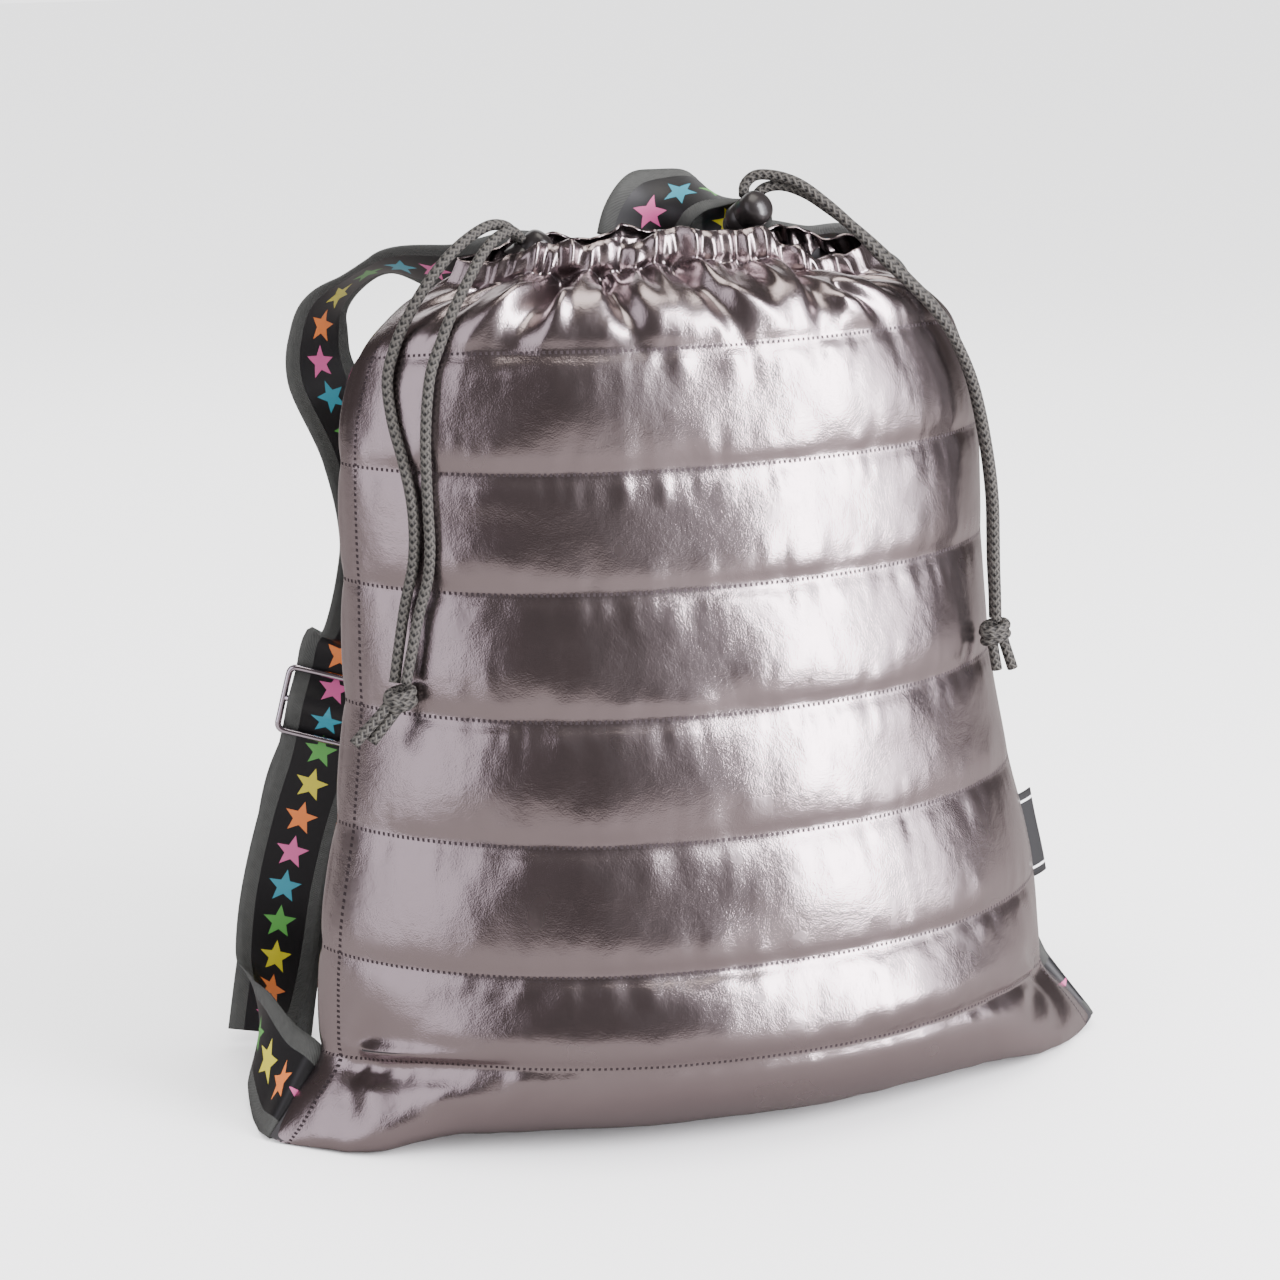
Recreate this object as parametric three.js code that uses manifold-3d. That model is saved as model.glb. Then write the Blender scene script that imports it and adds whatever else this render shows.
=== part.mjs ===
// Quilted puffer drawstring backpack, standing filled on its base.
// Millimetres, +Z up, the quilted front faces -Y, the shoulder straps hang at +Y.
import * as THREE from "three";
import { mergeVertices } from "three/addons/utils/BufferGeometryUtils.js";
import Module from "manifold-3d";

const wasm = await Module();
wasm.setup();

// Bag
const BAG_WIDTH = 386; // from ear to ear at the floor
const BAG_HEIGHT = 372; // floor to the top of the gathered header
const BAG_DEPTH = 145; // front to back at the fullest stitch line
const WALL = 3; // padded wall where it is stitched through
const SEAM_SHARE = 0.1; // share of that thickness left at the side seams
const PUFF_OUT = 5.5; // how far a channel swells outside its stitch lines
const PUFF_IN = 3; // and inside them
const FOLD_DEPTH = 10; // deepest gathered fold at the mouth
const BODY_COLUMNS = 20; // faces across a panel below the gathers

// Webbing, cord and hardware
const WEBBING_WIDTH = 38;
const WEBBING_THICK = 1.4;
const CORD = 4.7; // diameter of the braided drawcord
const CORD_SIDES = 8;
const SLIDER_BAR = 3.4; // width of each bar of the strap slider
const SLIDER_SLOT = 11.2; // height of each of its two slots
const SLIDER_THICK = 2.5;
const LOCK_RADIUS = 7.5; // barrel of a cord lock
const LOCK_LENGTH = 19; // barrel without its button
const LOCK_BORE = 5.6; // radius of the barrel's bore
const BUTTON_REACH = 6; // how far the button stands out at rest
const BUTTON_TRAVEL = 4; // how far it can be pressed in
const KNOT_RADIUS = 8.2;
const TAIL_LENGTH = 17; // each cord end past the knot
const LABEL_WIDTH = 11;
const LABEL_HEIGHT = 39;
const LABEL_THICK = 1;
const LABEL_SEAM = [0.19, 0.295]; // shares of the bag's height at its ends
const LABEL_TURN = 0.35; // how far it is turned to the back, as a slope

// Clearances
const SEAM_GAP = 0.4; // between the two panels along their seams
const SEAT_GAP = 0.3; // between a piece and what carries it
const RUNNING_GAP = 0.4; // between the button and its bore
const CORD_GAP = 0.5; // round the cords in a lock

// How far behind the ears' seams the middle of the whole outline lies.
const MIDDLE_BACK = 16.9;

// Side seam from the ear to the mouth: height, half width and lean back, as shares
// of the bag's height, half width and depth.
const SIDE_SEAM = [
  { at: 0.032, half: 1.0, lean: 0.0 },
  { at: 0.062, half: 0.945, lean: 0.005 },
  { at: 0.1, half: 0.87, lean: 0.014 },
  { at: 0.212, half: 0.855, lean: 0.028 },
  { at: 0.352, half: 0.803, lean: 0.083 },
  { at: 0.487, half: 0.767, lean: 0.138 },
  { at: 0.624, half: 0.756, lean: 0.179 },
  { at: 0.755, half: 0.752, lean: 0.2 },
  { at: 0.87, half: 0.7, lean: 0.234 },
  { at: 0.91, half: 0.63, lean: 0.234 },
  { at: 0.935, half: 0.56, lean: 0.234 },
  { at: 0.95, half: 0.5, lean: 0.234 },
  { at: 0.975, half: 0.475, lean: 0.234 },
];

// Rows of each panel from its bottom seam to the top of the header. at counts channels,
// side is the row's height at the side seam and mid at the middle of the panel, both as
// shares of the bag's height. out is how far the middle stands from the seam, as a share
// of its depth. stitched rows are quilting or casing lines. puff scales the channel above.
const FRONT_ROWS = [
  { at: 0, stitched: true, side: 0.032, mid: 0.011, out: 0.345, puff: 1 },
  { at: 0.35, stitched: false, side: 0.055, mid: 0.035, out: 0.555, puff: 1 },
  { at: 1, stitched: true, side: 0.1, mid: 0.113, out: 0.655, puff: 1 },
  { at: 2, stitched: true, side: 0.212, mid: 0.212, out: 0.593, puff: 1 },
  { at: 3, stitched: true, side: 0.352, mid: 0.352, out: 0.559, puff: 1 },
  { at: 4, stitched: true, side: 0.487, mid: 0.487, out: 0.531, puff: 1 },
  { at: 5, stitched: true, side: 0.624, mid: 0.624, out: 0.476, puff: 1 },
  { at: 6, stitched: true, side: 0.755, mid: 0.755, out: 0.428, puff: 1 },
  { at: 7, stitched: true, side: 0.87, mid: 0.888, out: 0.41, puff: 0.8 },
  { at: 7.45, stitched: false, side: 0.91, mid: 0.936, out: 0.345, puff: 0.8 },
  { at: 7.8, stitched: false, side: 0.935, mid: 0.957, out: 0.25, puff: 0.8 },
  { at: 8, stitched: true, side: 0.95, mid: 0.966, out: 0.175, puff: 0.5 },
  { at: 9, stitched: true, side: 0.975, mid: 1.0, out: 0.165, puff: 0 },
];
const BACK_ROWS = [
  { at: 0, stitched: true, side: 0.032, mid: 0.011, out: -0.345, puff: 1 },
  { at: 0.4, stitched: false, side: 0.04, mid: 0, out: -0.25, puff: 1 },
  { at: 1, stitched: true, side: 0.055, mid: 0, out: 0.03, puff: 1 },
  { at: 1.5, stitched: false, side: 0.075, mid: 0, out: 0.25, puff: 1 },
  { at: 2, stitched: true, side: 0.1, mid: 0.1, out: 0.345, puff: 1 },
  { at: 3, stitched: true, side: 0.212, mid: 0.212, out: 0.37, puff: 1 },
  { at: 4, stitched: true, side: 0.352, mid: 0.352, out: 0.35, puff: 1 },
  { at: 5, stitched: true, side: 0.487, mid: 0.487, out: 0.335, puff: 1 },
  { at: 6, stitched: true, side: 0.624, mid: 0.624, out: 0.32, puff: 1 },
  { at: 7, stitched: true, side: 0.755, mid: 0.755, out: 0.3, puff: 1 },
  { at: 8, stitched: true, side: 0.87, mid: 0.888, out: 0.28, puff: 0.8 },
  { at: 8.45, stitched: false, side: 0.91, mid: 0.936, out: 0.255, puff: 0.8 },
  { at: 8.8, stitched: false, side: 0.935, mid: 0.957, out: 0.21, puff: 0.8 },
  { at: 9, stitched: true, side: 0.95, mid: 0.968, out: 0.175, puff: 0.5 },
  { at: 10, stitched: true, side: 0.975, mid: 0.99, out: 0.165, puff: 0 },
];

// Gathered folds under and over the casing: at is the share of the half width, width its
// half width in the same share, depth a share of the deepest fold, reach the share of the
// gathered channel that it runs down.
const FRONT_FOLDS = [
  { at: -0.86, width: 0.07, depth: 0.4, reach: 0.75 },
  { at: -0.6, width: 0.06, depth: 0.5, reach: 0.6 },
  { at: -0.33, width: 0.07, depth: 0.9, reach: 0.85 },
  { at: -0.04, width: 0.07, depth: 1.0, reach: 0.9 },
  { at: 0.24, width: 0.06, depth: 0.6, reach: 0.55 },
  { at: 0.5, width: 0.07, depth: 0.9, reach: 0.8 },
  { at: 0.77, width: 0.07, depth: 0.8, reach: 0.7 },
];
const BACK_FOLD_COUNT = 6;
const BACK_FOLDS = Array.from({ length: BACK_FOLD_COUNT }, (_, i) => ({
  at: (2 * (i + 1)) / (BACK_FOLD_COUNT + 1) - 1,
  width: 0.07,
  depth: 0.45,
  reach: 0.7,
}));

const FRONT = { facing: -1, rows: FRONT_ROWS, folds: FRONT_FOLDS, gather: 7 };
const BACK = { facing: 1, rows: BACK_ROWS, folds: BACK_FOLDS, gather: 8 };

// Shoulder strap from the top of the back, over in an arc, down through the slider and
// round to the lower corner of the bag: shares of the half width, depth and height, with
// the direction across the webbing to its outer edge.
const STRAP_TOP = [
  { x: 0.4, y: 0.6, z: 0.945, across: [0.1, -0.6, 0.8] },
  { x: 0.541, y: 0.745, z: 0.955, across: [0.15, -0.85, 0.5] },
  { x: 0.613, y: 0.79, z: 0.925, across: [0.5, -0.72, 0.3] },
  { x: 0.665, y: 0.793, z: 0.889, across: [0.75, -0.6, 0.1] },
  { x: 0.685, y: 0.779, z: 0.855, across: [0.83, -0.56, 0] },
  { x: 0.686, y: 0.752, z: 0.815, across: [0.9, -0.4, 0] },
  { x: 0.639, y: 0.69, z: 0.723, across: [0.97, -0.1, 0] },
  { x: 0.622, y: 0.675, z: 0.62, across: [0.98, 0.1, 0] },
  { x: 0.644, y: 0.717, z: 0.494, across: [0.94, 0.3, 0.2] },
];
const SLIDER_AT = { x: 0.689, y: 0.752, z: 0.408, across: [0.94, 0.34, 0] };
const SLIDER_LEAN = -0.26; // how far its top leans to the bag's middle, as a slope
const STRAP_BOTTOM = [
  { x: 0.764, y: 0.772, z: 0.269, across: [0.93, 0.34, 0.1] },
  { x: 0.811, y: 0.752, z: 0.186, across: [0.93, 0.3, 0.1] },
  { x: 0.848, y: 0.69, z: 0.111, across: [0.8, 0, 0.3] },
  { x: 0.869, y: 0.628, z: 0.083, across: [0.7, -0.15, 0.5] },
  { x: 0.892, y: 0.552, z: 0.072, across: [0.55, -0.3, 0.65] },
  { x: 0.931, y: 0.414, z: 0.07, across: [0.2, -0.2, 0.9] },
  { x: 0.957, y: 0.276, z: 0.072, across: [-0.3, -0.1, 0.92] },
  { x: 0.957, y: 0.14, z: 0.068, across: [-0.55, 0, 0.83] },
];
// Free tail of the strap's adjustable end, behind the strap.
const TAIL_ROUTE = [
  { x: 0.738, y: 0.828, z: 0.299, across: [0.94, 0.3, 0.15] },
  { x: 0.775, y: 0.841, z: 0.197, across: [0.94, 0.3, 0.1] },
  { x: 0.804, y: 0.82, z: 0.125, across: [0.94, 0.3, 0.05] },
  { x: 0.834, y: 0.77, z: 0.066, across: [0.95, 0.3, 0] },
  { x: 0.865, y: 0.7, z: 0.011, across: [0.95, 0.3, 0] },
];
// Carry handle: one loop of the same webbing at the back of the header, in millimetres
// from the foot of its left leg, with the direction across the webbing.
const HANDLE_FOOT = { x: -1, u: 0.15 };
const HANDLE_ROUTE = [
  { x: 0, y: 0, z: 0, across: [1, 0, 0] },
  { x: 0, y: 0.4, z: 11, across: [1, -0.05, 0] },
  { x: 2, y: 1, z: 19, across: [0.9, -0.4, -0.1] },
  { x: 10, y: 2, z: 25, across: [0.45, -0.85, -0.25] },
  { x: 24, y: 3, z: 28, across: [0.1, -0.95, -0.3] },
  { x: 36, y: 3, z: 24, across: [0.3, -0.9, -0.2] },
  { x: 42, y: 1, z: 14, across: [0.8, -0.5, 0] },
  { x: 43, y: 0, z: 0, across: [1, 0, 0] },
];

// Drawcord routes, chosen by hand, from the lock to the knot.
const CORDS = {
  cord_left_outer: [
    [-64.6, 36.6, 369.9], [-70, 34, 375], [-79, 28, 377], [-91, 21, 373], [-101, 16, 366.5],
    [-110, 14, 357], [-118, 14, 345], [-124.5, 14, 332], [-129, 11.5, 318.4], [-129.2, 5, 302.5],
    [-126.5, -0.8, 286], [-124.8, -6.4, 270.7], [-124.6, -9, 256.4], [-125.6, -9.4, 243.8],
    [-129, -9, 228], [-133, -12.5, 211], [-136, -15.2, 196.5],
  ],
  cord_left_inner: [
    [-64.6, 31.4, 369.9], [-69.5, 28, 374], [-77, 23, 373], [-85, 17, 368], [-94.5, 8.4, 358],
    [-103.5, 2.6, 345.5], [-109.5, 0, 333.5], [-114, -2.2, 323.6], [-116.8, -5, 311.8],
    [-118.6, -7.5, 295.3], [-118.8, -8.5, 279.5], [-119.2, -11.6, 264.9], [-119.4, -13.8, 252.4],
    [-120.6, -14, 238.9], [-124.6, -14.6, 225.4], [-128.6, -17, 210.6], [-132.3, -19, 196.5],
  ],
  cord_right_outer: [
    [41.8, 37.3, 381.2], [46, 37, 385.5], [53, 34, 387], [62, 30, 384], [72, 25, 377],
    [82, 19, 368.5], [92, 12, 358.5], [101, 6, 348], [110, 2, 338], [117.5, 0, 327.5],
    [123, 0, 317], [128, 0, 305.5], [131.5, -1, 292], [134, -3, 277], [135.4, -5, 264],
    [135.9, -7.5, 251], [135.6, -9.5, 238], [135.2, -11.5, 225], [135.6, -13, 211.5],
    [136, -13.4, 200],
  ],
  cord_right_inner: [
    [37, 36.6, 382.9], [38.2, 39, 387], [42, 38, 391], [49, 34, 391.5], [58, 27, 388.5],
    [68, 20, 380.5], [79, 13, 369.5], [89, 5.5, 357.5], [99, -0.5, 347], [108, -4.5, 337], [115.5, -6.5, 326.5],
    [121.5, -6.5, 316], [126.5, -6.5, 304.5], [130, -7.5, 291.5], [132.5, -9.5, 276.5],
    [134, -11.5, 263.5], [134.5, -13.8, 250.5], [134.2, -15.8, 237.5], [133.8, -17.8, 224.5],
    [134, -19, 211.5], [134.4, -19.2, 200],
  ],
};
// The knots that tie each pair: where the middle lies and which way its ends lean.
const KNOTS = [
  { name: "left", at: [-134.2, -17.1, 189.9], lean: -1 },
  { name: "right", at: [135.2, -16.3, 194.4], lean: 0.25 },
];

const halfWidth = BAG_WIDTH / 2;

// Value of one column of a table at a place, on a monotone curve through its rows.
function along(rows, column, place) {
  const last = rows.length - 2;
  let i = 0;
  while (i < last && rows[i + 1].at <= place) i += 1;
  const rise = (k) =>
    (rows[k + 1][column] - rows[k][column]) / (rows[k + 1].at - rows[k].at);
  const slope = (k) => {
    if (k === 0) return rise(0);
    if (k === rows.length - 1) return rise(k - 1);
    const before = rise(k - 1);
    const after = rise(k);
    return before * after <= 0 ? 0 : (2 * before * after) / (before + after);
  };
  const span = rows[i + 1].at - rows[i].at;
  const t = THREE.MathUtils.clamp((place - rows[i].at) / span, 0, 1);
  const [t2, t3] = [t * t, t * t * t];
  return (
    (2 * t3 - 3 * t2 + 1) * rows[i][column] +
    (t3 - 2 * t2 + t) * span * slope(i) +
    (3 * t2 - 2 * t3) * rows[i + 1][column] +
    (t3 - t2) * span * slope(i + 1)
  );
}

// How full a panel is across its width, from 0 at the side seams to 1 in the middle.
const belly = (u) => (1 - Math.min(Math.abs(u), 1) ** 2.2) ** 0.7;

// The stitched surface of a panel, before its channels swell.
function skin(panel, u, at) {
  const side = along(panel.rows, "side", at);
  const mid = along(panel.rows, "mid", at) * BAG_HEIGHT;
  const out = along(panel.rows, "out", at) * BAG_DEPTH * belly(u);
  const ends = Math.abs(u) ** 6;
  return new THREE.Vector3(
    u * along(SIDE_SEAM, "half", side) * halfWidth,
    along(SIDE_SEAM, "lean", side) * BAG_DEPTH + panel.facing * out,
    mid + (side * BAG_HEIGHT - mid) * ends,
  );
}

// Outward direction of the stitched surface.
function outward(panel, u, at) {
  const step = 0.01;
  const top = panel.rows.at(-1).at;
  const [u0, u1] = [Math.max(u - step, -0.995), Math.min(u + step, 0.995)];
  const [a0, a1] = [Math.max(at - step, 0), Math.min(at + step, top)];
  const across = skin(panel, u1, at).sub(skin(panel, u0, at));
  const inside = THREE.MathUtils.clamp(u, -0.99, 0.99);
  const up = skin(panel, inside, a1).sub(skin(panel, inside, a0));
  return across.cross(up).normalize().multiplyScalar(-panel.facing);
}

// Swell of a channel, from 0 on its stitch lines to 1 in its middle.
function puff(panel, u, at) {
  const lines = panel.rows.filter((row) => row.stitched);
  const i = Math.min(
    lines.findLastIndex((row) => row.at <= at),
    lines.length - 2,
  );
  const share = (at - lines[i].at) / (lines[i + 1].at - lines[i].at);
  const swell = Math.max(1 - Math.abs(2 * share - 1) ** 2.4, 0) ** 0.6;
  return lines[i].puff * swell * (1 - Math.abs(u) ** 6);
}

// Depth of the gathered folds at a place, in millimetres.
function foldDepth(panel, u, at) {
  const rise = THREE.MathUtils.clamp(at - panel.gather, 0, 1);
  const valleys = panel.folds.map((fold) => {
    const run = THREE.MathUtils.clamp((rise - 1 + fold.reach) / fold.reach, 0, 1);
    return fold.depth * run * Math.exp(-(((u - fold.at) / fold.width) ** 2));
  });
  return FOLD_DEPTH * Math.max(...valleys);
}

// How thick the wall is, from 1 in the middle of a panel to its share at a side seam.
const fullness = (u) => 1 - (1 - SEAM_SHARE) * Math.abs(u) ** 6;

// A point of a panel's wall, on its outside or its inside face.
function wallPoint(panel, u, at, inside) {
  const point = skin(panel, u, at);
  const thick = WALL * fullness(u);
  if (Math.abs(u) === 1 || at === 0) {
    const inward = new THREE.Vector3(-Math.sign(u) * Math.abs(u) ** 12, 0, at === 0 ? 1 : 0);
    if (inside) point.addScaledVector(inward.normalize(), thick);
    point.y += (panel.facing * SEAM_GAP) / 2;
  } else {
    const swell = puff(panel, u, at);
    const reach = inside ? -thick - PUFF_IN * fullness(u) * swell : PUFF_OUT * swell;
    point.addScaledVector(outward(panel, u, at), reach - foldDepth(panel, u, at));
  }
  const floor = inside ? WALL : 0;
  point.z = Math.max(point.z, floor);
  return point;
}

// Heights of the rows of faces: four to a channel.
function rowPlaces(panel) {
  const places = [];
  const lines = panel.rows.filter((row) => row.stitched);
  for (const [i, line] of lines.slice(0, -1).entries()) {
    const span = lines[i + 1].at - line.at;
    for (const share of [0, 0.18, 0.5, 0.82]) places.push(line.at + share * span);
  }
  places.push(lines.at(-1).at);
  return places;
}

// Places across a row: closer near the side seams, and in the gathers one at each
// valley, ridge and slope.
function columnPlaces(panel, at) {
  if (at <= panel.gather)
    return Array.from({ length: BODY_COLUMNS + 1 }, (_, i) =>
      Math.sin((Math.PI / 2) * ((2 * i) / BODY_COLUMNS - 1)),
    );
  const valleys = panel.folds.map((fold) => fold.at);
  const stops = [-1, ...valleys, 1];
  const places = [];
  for (const [i, stop] of stops.slice(0, -1).entries())
    for (const share of [0, 0.25, 0.5, 0.75])
      places.push(stop + share * (stops[i + 1] - stop));
  places.push(1);
  return places;
}

// Triangles between two rows of vertices, each a list of { id, u }.
function zip(faces, low, high) {
  let [i, j] = [0, 0];
  while (i < low.length - 1 || j < high.length - 1) {
    const nextLow = i < low.length - 1 ? low[i + 1].u : Infinity;
    const nextHigh = j < high.length - 1 ? high[j + 1].u : Infinity;
    if (nextLow <= nextHigh) {
      faces.push(low[i].id, low[i + 1].id, high[j].id);
      i += 1;
    } else {
      faces.push(low[i].id, high[j + 1].id, high[j].id);
      j += 1;
    }
  }
}

function geometryOf(points, faces) {
  const positions = points.flatMap((point) => point.toArray());
  const geometry = new THREE.BufferGeometry();
  geometry.setAttribute("position", new THREE.Float32BufferAttribute(positions, 3));
  geometry.setIndex(faces);
  geometry.computeVertexNormals();
  return geometry;
}

function turnedRound(faces) {
  const turned = [...faces];
  for (let i = 0; i < turned.length; i += 3)
    [turned[i + 1], turned[i + 2]] = [turned[i + 2], turned[i + 1]];
  return turned;
}

// One padded panel: an outside and an inside face joined round all four edges.
function panelGeometry(panel) {
  const points = [];
  const faces = [];
  const rowOf = (at, inside) =>
    columnPlaces(panel, at).map((u) => {
      points.push(wallPoint(panel, u, at, inside));
      return { id: points.length - 1, u };
    });
  const rows = rowPlaces(panel).map((at) => ({
    outside: rowOf(at, false),
    inside: rowOf(at, true),
  }));
  for (const [i, row] of rows.slice(0, -1).entries()) {
    const next = rows[i + 1];
    zip(faces, row.outside, next.outside);
    zip(faces, next.inside, row.inside);
    for (const end of [0, -1]) {
      const side = [row.outside, next.outside, next.inside, row.inside].map(
        (line) => line.at(end).id,
      );
      const [a, b, c, d] = end === 0 ? side : side.reverse();
      faces.push(a, b, c, a, c, d);
    }
  }
  zip(faces, rows[0].inside, rows[0].outside);
  zip(faces, rows.at(-1).outside, rows.at(-1).inside);
  return geometryOf(points, panel.facing < 0 ? faces : turnedRound(faces));
}

const vector = ([x, y, z]) => new THREE.Vector3(x, y, z);

// A flat band swept along stations of { point, across }.
function bandGeometry(stations, width, thick) {
  const points = [];
  const faces = [];
  for (const [i, station] of stations.entries()) {
    const before = stations[Math.max(i - 1, 0)].point;
    const after = stations[Math.min(i + 1, stations.length - 1)].point;
    const ahead = after.clone().sub(before).normalize();
    const across = station.across.clone().addScaledVector(ahead, -station.across.dot(ahead));
    across.normalize();
    const face = ahead.clone().cross(across);
    for (const [w, t] of [[-1, -1], [1, -1], [1, 1], [-1, 1]])
      points.push(
        station.point
          .clone()
          .addScaledVector(across, (w * width) / 2)
          .addScaledVector(face, (t * thick) / 2),
      );
  }
  for (let i = 0; i < stations.length - 1; i += 1)
    for (let k = 0; k < 4; k += 1) {
      const [a, b] = [4 * i + k, 4 * i + ((k + 1) % 4)];
      if (k === 2) faces.push(a, b, a + 4, b, b + 4, a + 4);
      else faces.push(a, b, b + 4, a, b + 4, a + 4);
    }
  const end = points.length - 4;
  faces.push(0, 2, 1, 0, 3, 2, end, end + 1, end + 2, end, end + 2, end + 3);
  return outwardFacing(points, faces);
}

// Faces turned so that the closed surface they make encloses a positive volume.
function outwardFacing(points, faces) {
  let volume = 0;
  for (let i = 0; i < faces.length; i += 3) {
    const [a, b, c] = [0, 1, 2].map((k) => points[faces[i + k]]);
    volume += a.dot(b.clone().cross(c));
  }
  return geometryOf(points, volume > 0 ? faces : turnedRound(faces));
}

// Stations on a smooth curve through hand-set ones.
function smoothStations(marks, steps) {
  const curve = new THREE.CatmullRomCurve3(marks.map((mark) => mark.point));
  return Array.from({ length: steps + 1 }, (_, i) => {
    const place = (i / steps) * (marks.length - 1);
    const k = Math.min(Math.floor(place), marks.length - 2);
    return {
      point: curve.getPoint(i / steps),
      across: marks[k].across.clone().lerp(marks[k + 1].across, place - k),
    };
  });
}

// A tabled station in the bag's frame, on the side of the bag given by -1 or 1.
function mark(row, side) {
  const [x, y, z] = row.across;
  return {
    point: new THREE.Vector3(
      side * row.x * halfWidth,
      row.y * BAG_DEPTH,
      row.z * BAG_HEIGHT,
    ),
    across: new THREE.Vector3(side * x, y, z).normalize(),
  };
}

// The slider's own axes: across the webbing, down the strap and out to the bag.
function sliderFrame(side) {
  const { point, across } = mark(SLIDER_AT, side);
  const down = new THREE.Vector3(-side * SLIDER_LEAN, 0, -1).normalize();
  across.addScaledVector(down, -down.dot(across)).normalize();
  const out = across.clone().cross(down);
  if (out.y > 0) out.negate();
  return { point, across, down, out };
}

// A station given by its way down the strap and out of the slider's face.
function sliderStation(frame, down, out) {
  return {
    point: frame.point
      .clone()
      .addScaledVector(frame.down, down)
      .addScaledVector(frame.out, out),
    across: frame.across.clone(),
  };
}

// Depths of the layers of webbing round the slider's bars.
const barHalf = SLIDER_BAR / 2;
const slotMiddle = barHalf + SLIDER_SLOT / 2;
const endBar = SLIDER_BAR + SLIDER_SLOT;
const firstLayer = SLIDER_THICK / 2 + SEAT_GAP + WEBBING_THICK / 2;
const nextLayer = firstLayer + WEBBING_THICK + SEAT_GAP;

// Stand-off of a flat band's end from the highest part of the panel beneath it.
function seatOn(panel, u, at, width, length) {
  const middle = skin(panel, u, at);
  const out = outward(panel, u, at);
  let highest = -Infinity;
  for (let i = -6; i <= 6; i += 1)
    for (let k = -6; k <= 6; k += 1) {
      const du = ((i / 6) * width) / 2 / halfWidth;
      const dAt = ((k / 6) * length) / 2 / (BAG_HEIGHT / 8);
      const top = panel.rows.at(-1).at;
      const place = wallPoint(panel, u + du * 2, Math.min(at + dAt, top), false);
      highest = Math.max(highest, place.sub(middle).dot(out));
    }
  return { middle, out, height: highest + SEAT_GAP + WEBBING_THICK / 2 };
}

// The strap: sewn to the back near the mouth, through the slider, to the corner.
function strapStations(side) {
  const frame = sliderFrame(side);
  const foot = strapFoot(side);
  const top = [
    ...foot,
    ...STRAP_TOP.map((row) => mark(row, side)),
    sliderStation(frame, -endBar - 12, -firstLayer - 0.6),
    sliderStation(frame, -endBar - barHalf, -firstLayer),
  ];
  const middle = [
    [-endBar + barHalf, -firstLayer],
    [-slotMiddle, 0.6],
    [-barHalf - 0.6, nextLayer],
    [barHalf + 0.6, nextLayer],
    [slotMiddle, 0.6],
    [endBar - barHalf, -firstLayer],
  ].map(([down, out]) => sliderStation(frame, down, out));
  const bottom = [
    sliderStation(frame, endBar + barHalf, -firstLayer),
    sliderStation(frame, endBar + 12, -firstLayer - 0.6),
    ...STRAP_BOTTOM.map((row) => mark(row, side)),
    cornerStation(side),
  ];
  return [...smoothStations(top, 26), ...middle, ...smoothStations(bottom, 20)];
}

// Where a strap is sewn flat on the back panel, beside the handle.
function strapFoot(side) {
  const seat = seatOn(BACK, side * 0.3, BACK.gather + 0.2, WEBBING_WIDTH * 1.3, 30);
  const up = new THREE.Vector3(side * 0.6, 0, 0.8);
  up.addScaledVector(seat.out, -up.dot(seat.out)).normalize();
  const across = seat.out.clone().cross(up).multiplyScalar(side);
  if (across.z < 0) across.negate();
  const start = seat.middle.addScaledVector(seat.out, seat.height);
  return [-14, 6].map((run) => ({
    point: start.clone().addScaledVector(up, run),
    across,
  }));
}

// Where a strap is sewn into the sloping side seam of an ear.
function cornerStation(side) {
  const [low, high] = [SIDE_SEAM[0], SIDE_SEAM[2]].map((row) =>
    new THREE.Vector3(
      side * row.half * halfWidth,
      row.lean * BAG_DEPTH,
      row.at * BAG_HEIGHT,
    ),
  );
  const across = high.clone().sub(low).normalize();
  const away = new THREE.Vector3(0, 1, 0).cross(across).multiplyScalar(-side);
  if (away.x * side < 0) away.negate();
  const middle = low.add(high).multiplyScalar(0.5);
  const reach = SEAT_GAP + WEBBING_THICK;
  return { point: middle.addScaledVector(away, reach).setY(middle.y + WEBBING_THICK), across };
}

// The free tail: hooked over the slider's middle bar and hanging behind the strap.
function tailStations(side) {
  const frame = sliderFrame(side);
  const hook = [
    [barHalf, firstLayer],
    [-barHalf, firstLayer],
    [-barHalf - 1.3, 1.2],
    [-barHalf - 1.3, -1.2],
    [-barHalf, -firstLayer],
    [barHalf, -firstLayer - 0.9],
  ].map(([down, out]) => sliderStation(frame, down, out));
  const hang = [
    sliderStation(frame, slotMiddle + 2, -nextLayer - 0.7),
    sliderStation(frame, endBar + 6, -nextLayer - 1.6),
    ...TAIL_ROUTE.map((row) => mark(row, side)),
  ];
  return [...hook, ...smoothStations(hang, 16)];
}

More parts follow.
